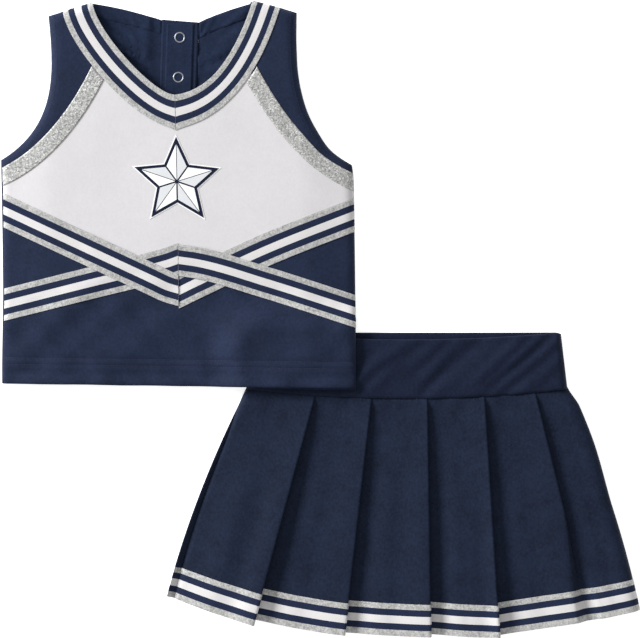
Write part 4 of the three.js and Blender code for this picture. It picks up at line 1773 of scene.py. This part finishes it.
    def band_height(self, x: Array, y: Array) -> Array:
        """Height of the waistband's outer face, with its slanting creases.

        Args:
            x: distance from the middle.
            y: distance up from the middle of the waist seam.

        Returns:
            The height at each point.
        """
        flat = np.stack([x, y], axis=-1)
        slant, wave = -45, 18.5
        across = x * math.cos(math.radians(slant)) + y * math.sin(math.radians(slant))
        waves = np.sin(2 * math.pi * (across / wave + 0.9 * ripple(flat, 34, 80, slant, 2.6)))
        folds = 1.15 * waves * (0.55 + 0.9 * ripple(flat, 60, 60, 0, 5.1))
        folds = folds + 2.2 * ripple(flat, 13, 70, -47, 7.7)
        covered = smooth((-52 - x) / 30)
        up = np.clip((y + 2) / 55, 0, 1)
        calm = 0.35 + 0.65 * np.sin(math.pi * np.clip(up, 0.03, 0.97)) ** 0.6
        return 8.7 + folds * calm * (1 - 0.75 * covered) - 0.5 * (1 - rolled(y - self.seam_y(x), 3.0))

    def casing(self, front: bool) -> Array:
        """The waistband folded over its elastic, as one grid.

        Args:
            front: True for the front casing, False for the back one.

        Returns:
            Grid with x along the first axis, and the way round the casing along the second.
        """
        end = 132
        xs = np.concatenate([np.linspace(-self.waist_half, -end, 10)[:-1], np.linspace(-end, end, 110),
                             np.linspace(end, self.waist_half, 10)[1:]])
        radius = 1.2
        spread = rolled(self.waist_half - np.abs(xs), 6.5)
        grid = []
        faces = [(float(h), 0.0) for h in np.linspace(0, 1, 22)]
        faces += [(1.0, a) for a in np.linspace(0, math.pi, 8)[1:-1]]
        faces += [(float(h), math.pi) for h in np.linspace(1, 0.06, 14)]
        for share, angle in faces:
            x, y = self.band_spot(xs, np.full_like(xs, share), front)
            height_share = (self.waist_height - radius) / self.waist_height
            y = self.seam_y(xs) + (y - self.seam_y(xs)) * height_share + radius * math.sin(angle)
            if front:
                outer = self.band_height(x, y) - 0.42
                full = outer - radius * (1 - math.cos(angle))
                z = 1.5 + (full - 1.5) * spread
            else:
                z = 0.45 + radius * (1 - math.cos(angle)) + 0 * x
            grid.append(np.stack([x, y, z], axis=1))
        made = np.stack(grid, axis=1)
        return made if front else made[::-1]

    def build_waistband(self) -> None:
        """The casings, the elastic inside them, and their end seams."""
        halves = {"front": (True, "waistband_back_casing"), "back": (False, "skirt_back_cloth")}
        for word, (front, under) in halves.items():
            mid = self.placed(self.casing(front))
            flat = FlatCut(length_of(mid[:, 0]), length_of(mid[60]), (under,), held="folded")
            # the casings take the darker navy, which is painted shade
            piece(f"waistband_{word}_casing", grid_shell(mid, self.cloth), [Finish.NAVY_BAND_SHADED], Body.SKIRT,
                  [f"waistband_{word}"], flat)
        for word, (front, _) in halves.items():
            xs = np.linspace(-self.waist_half + 7, self.waist_half - 7, 90)
            rows = []
            for share in np.linspace(0.12, 0.9, 24):
                x, y = self.band_spot(xs, np.full_like(xs, share), front)
                z = self.band_height(x, y) - 1.7 if front else 1.72 + 0 * x
                z = z * (rolled(self.waist_half - np.abs(xs), 9.0) if front else 1.0)
                rows.append(np.stack([x, y, z + 0.06 * np.cos(share * 180)], axis=1))
            mid = self.placed(np.stack(rows, axis=1))
            flat = FlatCut(*self.elastic, (f"waistband_{word}_casing",), held="stretched")
            piece(f"waist_elastic_{word}_web", grid_shell(mid, 0.6), [Finish.ELASTIC], Body.SKIRT,
                  [f"waist_elastic_{word}"], flat)
        for side in Side:
            shares = np.linspace(0.08, 0.94, 30)
            at = np.full_like(shares, side.value * (self.waist_half - 1.2))
            x, y = self.band_spot(at, shares, False)
            line = self.placed(np.stack([x, y, np.full_like(x, 1.25)], axis=1))
            name = f"waistband_seam_{side.word}"
            piece(name.replace("seam", "overlock"), stitches(line, Stitch.WAISTBAND_SEAM),
                  [Finish.NAVY_THREAD], Body.SKIRT, [name])

    # -------- back layer

    def build_back(self) -> None:
        """The plain back layer and its hem braid."""
        columns = np.concatenate([np.linspace(0, 0.03, 14)[:-1], np.linspace(0.03, 1, 110)])

        def spot(u: Array, v: Array) -> Array:
            """A place on the back layer.

            Args:
                u: share across it.
                v: share down it.

            Returns:
                The point there.
            """
            top_x = -self.waist_half + 2 * self.waist_half * u
            hem_x = -self.hem_half + 2 * self.hem_half * u
            bow = self.side_bulge * 4 * v * (1 - v) * (2 * u - 1) ** 5
            x = top_x + (hem_x - top_x) * v + bow - self.hem_spread * (1 - u) ** 12 * v
            low_y = self.hem_y(hem_x)
            y = self.seam_y(top_x) + (low_y - self.seam_y(top_x)) * v
            flat = np.stack([x, y], axis=-1)
            from_edge = (u - u.min()) * (2 * self.waist_half * (1 - v) + 2 * self.hem_half * v)
            rim = np.exp(-((from_edge / 2.6) ** 2)) * smooth(v / 0.25)
            z = 0.55 + 0.5 * np.abs(ripple(flat, 30, 120, 0, 3.9)) + 4.6 * rim
            return np.stack([x, y, z], axis=-1)

        waist_middle, hem_middle = (spot(np.array([0.5]), np.array([v])) for v in (0.0, 1.0))
        run = float(np.linalg.norm(hem_middle - waist_middle))
        breadth = self.braid.width + 0.9
        cloth_rows = np.linspace(0.004, 1 - (breadth - 5) / run, 46)[::-1]
        u, v = np.meshgrid(columns, cloth_rows, indexing="ij")
        mid = self.placed(spot(u, v))
        flat = FlatCut(2 * self.hem_half + 4, length_of(mid[60]) + 6, ("waistband_back_casing",),
                       self.grid_area(mid))
        piece("skirt_back_cloth", grid_shell(mid, self.cloth), [Finish.NAVY_SKIRT], Body.SKIRT,
              ["skirt_back_panel"], flat)
        steps = self.braid.steps() * (breadth / self.braid.width)
        u, d = np.meshgrid(columns, steps, indexing="ij")
        mid = self.placed(spot(u, 1 - d / run)) + np.array([0, 0, 0.72])
        flat = FlatCut(breadth, length_of(mid[:, self.braid.middle_row]), ("skirt_back_cloth",))
        piece("back_hem_braid_band", self.braid.shell(mid), self.braid.finishes, Body.SKIRT,
              ["back_hem_braid"], flat)

    @staticmethod
    def grid_area(mid: Array) -> float:
        """Area of a grid of points."""
        across, along = mid[1:, :-1] - mid[:-1, :-1], mid[:-1, 1:] - mid[:-1, :-1]
        return float(np.linalg.norm(np.cross(across, along), axis=2).sum())

    # -------- pleats

    def high_at(self, i: int, v: float) -> float:
        """Height of the upper face at the fold that ends pleat i, v from waist to hem."""
        start = float(smooth(v / 0.05))
        return 7.3 + 1.5 * start + (self.fold_highs[i] - 8.8) * float(smooth(v * 1.15)) ** 0.5

    @staticmethod
    def low_at(v: float) -> float:
        """Height of the upper face in the valley at the left of a pleat."""
        start = float(smooth(v / 0.07))
        return 7.0 - 0.8 * start - 2.6 * float(smooth(v * 1.25)) ** 0.5

    def tucked_at(self, i: int, v: float) -> float:
        """Height of the upper face where pleat i comes out from under its neighbour."""
        return self.low_at(v) + (2.3 * float(smooth(v * 1.4)) if i > 0 else 0.0)

    def face_height(self, i: int, u: float, v: float) -> float:
        """Height of the upper face of a pleat.

        Args:
            i: number of the pleat.
            u: 0 at its left edge, 1 at its fold.
            v: 0 at the waist seam, 1 at the hem.

        Returns:
            The height there.
        """
        low, high = self.low_at(v), self.high_at(i, v)
        width = (self.waist[i + 1] - self.waist[i]) * (1 - v) + (self.hem[i + 1] - self.hem[i]) * v
        soft = 0.2 * u + 0.46 * float(smooth(u / 0.5)) + 0.34 * float(smooth((u - 0.5) / 0.5))
        sharp = 0.12 * u + 0.88 * u**1.9
        rise = sharp + (soft - sharp) * float(smooth((v - 0.12) / 0.4))
        tucked = (self.tucked_at(i, v) - low) * math.exp(-((u * width / 8.0) ** 2))
        place, depth = self.hollows[i]
        hollow = depth * float(smooth((v - 0.15) / 0.45)) * math.exp(-(((u - place) * width / 9.5) ** 2))
        return low + (high - low) * rise + tucked - hollow

    def spot(self, i: int, u: float, shift: float, v: float,
             low: float | None = None) -> Pair:
        """Where a point of pleat i lies.

        Args:
            i: number of the pleat, from 0 at the left.
            u: 0 at its left edge, 1 at its fold.
            shift: distance further sideways.
            v: 0 at the waist seam, 1 at the hem.
            low: height of the hem there, where it isn't the pleat's own.

        Returns:
            Its x and y.
        """
        top_x = self.waist[i] + (self.waist[i + 1] - self.waist[i]) * u + shift * 0.8
        hem_x = self.hem[i] + (self.hem[i + 1] - self.hem[i]) * u + shift
        bow = 0.0
        if i == 0:
            bow = -self.side_bulge * 4 * v * (1 - v) * (1 - u) ** 1.5
        elif i == self.last:
            flare = 3.7 * float(smooth(v / 0.09) * (1 - smooth((v - 0.2) / 0.35)))
            bow = (self.side_bulge * 4 * v * (1 - v) + flare) * u**1.5
        low_y = self.pleat_hem(i, u) if low is None else low
        top_y = float(self.seam_y(min(max(top_x, -self.waist_half), self.waist_half))) + 1.2
        x = top_x + (hem_x - top_x) * v + bow
        return x, top_y + (low_y - top_y) * v

    def section(self, i: int, level: tuple[float | None, float]) -> list[Triple]:
        """The way across pleat i at one level, from its hidden left edge round its fold and back under.

        Args:
            i: number of the pleat.
            level: share of the way down to the braid, or None in the braid, and distance from the hem.

        Returns:
            Points at mid thickness.
        """
        half, radius, lead = self.cloth / 2, self.fold_radius, self.lead
        last = i == self.last
        way: list[Triple] = []
        if i > 0:
            for k in range(lead):
                back = -self.lap * (1 - k / lead)
                v = self.down(i, 0.0, level)
                x, y = self.spot(i, 0.0, back, v, self.pleat_hem(i, 0.0))
                way.append((x, y, self.tucked_at(i, v) - half + 0.02 * back))
        shares = np.linspace(0, 1, self.last_columns if last else self.columns)
        for u in shares:
            v = self.down(i, float(u), level)
            x, y = self.spot(i, float(u), 0.0, v)
            z = self.face_height(i, float(u), v) - half
            for at_edge, edge, roll in ((i == 0, 0.0, 5.0), (last, 1.0, 13.0)):
                if at_edge:
                    from_edge = abs(x - self.spot(i, edge, 0.0, v)[0])
                    z = 1.7 + (z - 1.7) * float(rolled(from_edge + 0.05, roll))
            if not last and u == shares[-1]:
                x -= radius
            way.append((x, y, z))
        if last:
            return way
        v = self.down(i, 1.0, level)
        top_z = self.face_height(i, 1.0, v) - half
        for angle in np.linspace(0, math.pi, self.round_steps + 1)[1:]:
            x, y = self.spot(i, 1.0, 0.0, v)
            way.append((x - radius + radius * math.sin(angle), y, top_z - radius * (1 - math.cos(angle))))
        inner_z = self.tucked_at(i + 1, v) + half + 0.25
        for k in range(1, lead + 1):
            share = k / lead
            low = self.pleat_hem(i, 1.0) * (1 - share) + self.pleat_hem(i + 1, 0.0) * share
            x, y = self.spot(i, 1.0, -self.lap * share, v, low)
            z = (top_z - 2 * radius) * (1 - share**1.5) + inner_z * share**1.5
            way.append((x - radius * (1 - share), y, z))
        return way

    def down(self, i: int, u: float, level: tuple[float | None, float]) -> float:
        """How far down the skirt a grid row lies: 0 at the waist seam, 1 at the hem.

        Args:
            i: number of the pleat.
            u: share across it.
            level: share of the way down to the braid, or None in the braid, and distance from the hem.

        Returns:
            v at that place.
        """
        share, from_hem = level
        top, low = self.spot(i, u, 0.0, 0.0), self.spot(i, u, 0.0, 1.0)
        run = math.hypot(top[0] - low[0], top[1] - low[1])
        return 1 - from_hem / run if share is None else share * (1 - self.braid.width / run)

    def pleat_grid(self, numbers: Sequence[int], levels: Sequence[tuple[float | None, float]]) -> Array:
        """Several pleats in a row, as one grid.

        Args:
            numbers: numbers of the pleats.
            levels: share down the cloth and distance from the hem, for each row from the hem up.

        Returns:
            Grid of points, the way across along the first axis and up the skirt along the second.
        """
        rows = []
        for level in levels:
            way: list[Triple] = []
            for i in numbers:
                part = self.section(i, level)
                way += part if not way else part[1:]
            rows.append(np.array(way))
        grid = np.stack(rows, axis=1)
        if len(numbers) > 1:
            grid = self.open_fold(grid, numbers[0])
        flat = grid[..., :2]
        down = np.clip(-grid[..., 1] / self.length, 0, 1)
        seam_gather = np.exp(-(((down - 0.05) / 0.05) ** 2)) * 0.5 * ripple(flat, 9, 60, 0, 5.5)
        grid[..., 2] += 0.5 * down * ripple(flat, 22, 110, 4, 2.9) + seam_gather
        return self.placed(grid)

    def open_fold(self, grid: Array, i: int) -> Array:
        """Lets the fold after pleat i open out into a soft valley towards the hem.

        Args:
            grid: the two pleats, folded.
            i: number of the first pleat.

        Returns:
            The grid with the fold opened.
        """
        fold = (self.lead if i > 0 else 0) + self.columns
        hidden = self.round_steps + 2 * self.lead - 1
        first, last = fold - 6, fold + hidden + 10
        made, floor = grid.copy(), 2.6
        for j in range(grid.shape[1]):
            down = float(np.clip(-grid[:, j, 1].mean() / self.length, 0, 1))
            share = float(smooth((down - 0.42) / 0.5))
            a, b = grid[first, j], grid[last, j]
            steps = np.linspace(0, 1, last - first + 1)
            straight = a[None, :] * (1 - steps[:, None]) + b[None, :] * steps[:, None]
            fall, rise = smooth((steps - 0.06) / 0.4), smooth((steps - 0.55) / 0.45)
            straight[:, 2] = a[2] * (1 - fall) + floor * fall + (b[2] - floor) * rise
            made[first : last + 1, j] = grid[first : last + 1, j] * (1 - share) + straight * share
        return made

    def build_pleats(self) -> None:
        """The pleats and their hem braid. The last two pleats are one length of cloth."""
        left = self.side_bend(Side.LEFT, -176.0, (94.5, -32.7))
        right = self.side_bend(Side.RIGHT, -186.0, (67.5, -22.2))
        breadth = self.braid.width
        cloth_levels = [(None, breadth - under) for under in (5.0, 2.5, 0.4)]
        cloth_levels += [(float(s), 0.0) for s in np.linspace(1, 0, 44)[1:]]
        braid_levels = [(None, float(d)) for d in self.braid.steps()]
        stitch_levels = [(None, breadth - 1.0), (None, breadth - 1.4)]
        for numbers, rides in (((0,), left), ((1,), left), ((2,), Body.SKIRT_FRONT), ((3,), Body.SKIRT_FRONT),
                               ((4, 5), right)):
            word = "_".join(str(i + 1) for i in numbers)
            mid = self.pleat_grid(numbers, cloth_levels)
            flat = FlatCut(length_of(mid[:, 0]), length_of(mid[10]), ("skirt_back_cloth",),
                           self.grid_area(mid), "folded")
            piece(f"pleat_{word}", grid_shell(mid, self.cloth), [Finish.NAVY_SKIRT], rides,
                  [f"front_pleat_{i + 1}" for i in numbers], flat)
            lift = self.cloth / 2 + self.braid.thickness / 2 + 0.03
            mid = raised(self.pleat_grid(numbers, braid_levels), lift)
            run = length_of(mid[:, self.braid.middle_row])
            flat = FlatCut(breadth, run, (f"pleat_{word}",), held="folded")
            piece(f"hem_braid_{word}", self.braid.shell(mid), self.braid.finishes, rides,
                  [f"front_hem_braid_{i + 1}" for i in numbers], flat)
            edge = raised(self.pleat_grid(numbers, stitch_levels), 1.02)[:, 0]
            seen = slice(self.lead, self.lead + self.columns) if numbers[0] > 0 else slice(3, self.columns)
            piece(f"hem_braid_stitching_{word}", stitches(edge[seen], Stitch.TRIM), [Finish.WHITE_THREAD],
                  rides)

    def side_bend(self, side: Side, low: float, way: Pair) -> Bend:
        """Where the pleats near a side seam turn from following the back layer to following the front.

        Args:
            side: side of the skirt.
            low: height at which the bend starts, at the hem's outer corner.
            way: how far it runs inwards and up to its end.

        Returns:
            The bend.
        """
        x, y, z = self.origin[0] + side.value * self.hem_half, self.origin[1] + low, 4.0
        end = (x - side.value * way[0], y + way[1], z)
        return Bend(Body.SKIRT, Body.SKIRT_FRONT, (x * MM, y * MM, z * MM), tuple(c * MM for c in end))

    def build_seams(self) -> None:
        """The overlocked side seams between the front and back layers."""
        for side in Side:
            v = np.linspace(0.02, 0.97, 70)
            at, u = (0, 0.0) if side is Side.LEFT else (self.last, 1.0)
            line = np.array([(*self.spot(at, u, -1.6 * side.value, float(s)), 1.45) for s in v])
            name = f"skirt_side_seam_{side.word}"
            piece(name.replace("seam", "overlock"), stitches(self.placed(line), Stitch.SKIRT_SEAM),
                  [Finish.NAVY_THREAD], Body.SKIRT, [name])


# ---------------- the studio


@dataclass
class Studio:
    """A pale floor, soft light and a camera looking straight down.

    Attributes:
        height: height of the camera, in metres.
        view_width: width of the view on the floor, in metres.
        sky: strength of the even light from all round.
        key: power of the large soft light, in watts.
        key_size: width of that light, in metres.
        key_place: where it hangs.
        floor_reach: half the width of the floor.
        floor_gap: room between the floor and the set.
        shift_up: how far the camera stands up the floor from the set's middle.
    """

    height: float = 2.0
    view_width: float = 0.5605
    sky: float = 0.56
    key: float = 610.0
    key_size: float = 1.9
    key_place: Triple = (-4.9, 2.4, 2.3)
    floor_reach: float = 4.0
    floor_gap: float = 0.0004
    shift_up: float = 0.0003

    def build(self) -> None:
        """Builds the floor, the lights and the camera."""
        self.build_floor()
        self.build_lights()
        self.build_camera()

    def build_floor(self) -> None:
        """The pale floor just under the set."""
        low, reach = CAD_BOX[0][2] - self.floor_gap, self.floor_reach
        mesh = bpy.data.meshes.new("floor")
        corners = [(-reach, -reach, low), (reach, -reach, low), (reach, reach, low), (-reach, reach, low)]
        mesh.from_pydata(corners, [], [(0, 1, 2, 3)])
        mesh.materials.append(Finish.PAPER.material())
        floor = bpy.data.objects.new("floor", mesh)
        bpy.context.scene.collection.objects.link(floor)

    def build_lights(self) -> None:
        """Even light from all round and one soft light from the upper left."""
        world = bpy.data.worlds.new("studio")
        world.use_nodes = True
        back = world.node_tree.nodes["Background"]
        back.inputs["Color"].default_value = (1.0, 1.0, 1.0, 1.0)
        back.inputs["Strength"].default_value = self.sky
        bpy.context.scene.world = world
        lamp = bpy.data.lights.new("softbox", "AREA")
        lamp.shape = "SQUARE"
        lamp.size = self.key_size
        lamp.energy = self.key
        box = bpy.data.objects.new("softbox", lamp)
        box.location = Vector(self.key_place)
        box.rotation_euler = (-box.location).to_track_quat("-Z", "Y").to_euler()
        bpy.context.scene.collection.objects.link(box)

    def build_camera(self) -> None:
        """A camera straight above the middle of the set."""
        low, high = Vector(CAD_BOX[0]), Vector(CAD_BOX[1])
        middle = (low + high) / 2
        camera = bpy.data.cameras.new("camera")
        camera.sensor_width = 36.0
        camera.lens = camera.sensor_width * self.height / self.view_width
        shown = bpy.data.objects.new("camera", camera)
        shown.location = (middle.x, middle.y + self.shift_up, self.height)
        bpy.context.scene.collection.objects.link(shown)
        bpy.context.scene.camera = shown
        bpy.context.scene.view_settings.view_transform = "Standard"


def main() -> None:
    """Builds the studio, the skirt and the top."""
    logging.basicConfig(level=logging.INFO, format="%(message)s")
    for assembly in (Studio(), PleatedSkirt(), CropTop()):
        LOG.info("building %s", type(assembly).__name__)
        assembly.build()


if __name__ == "__main__":
    main()
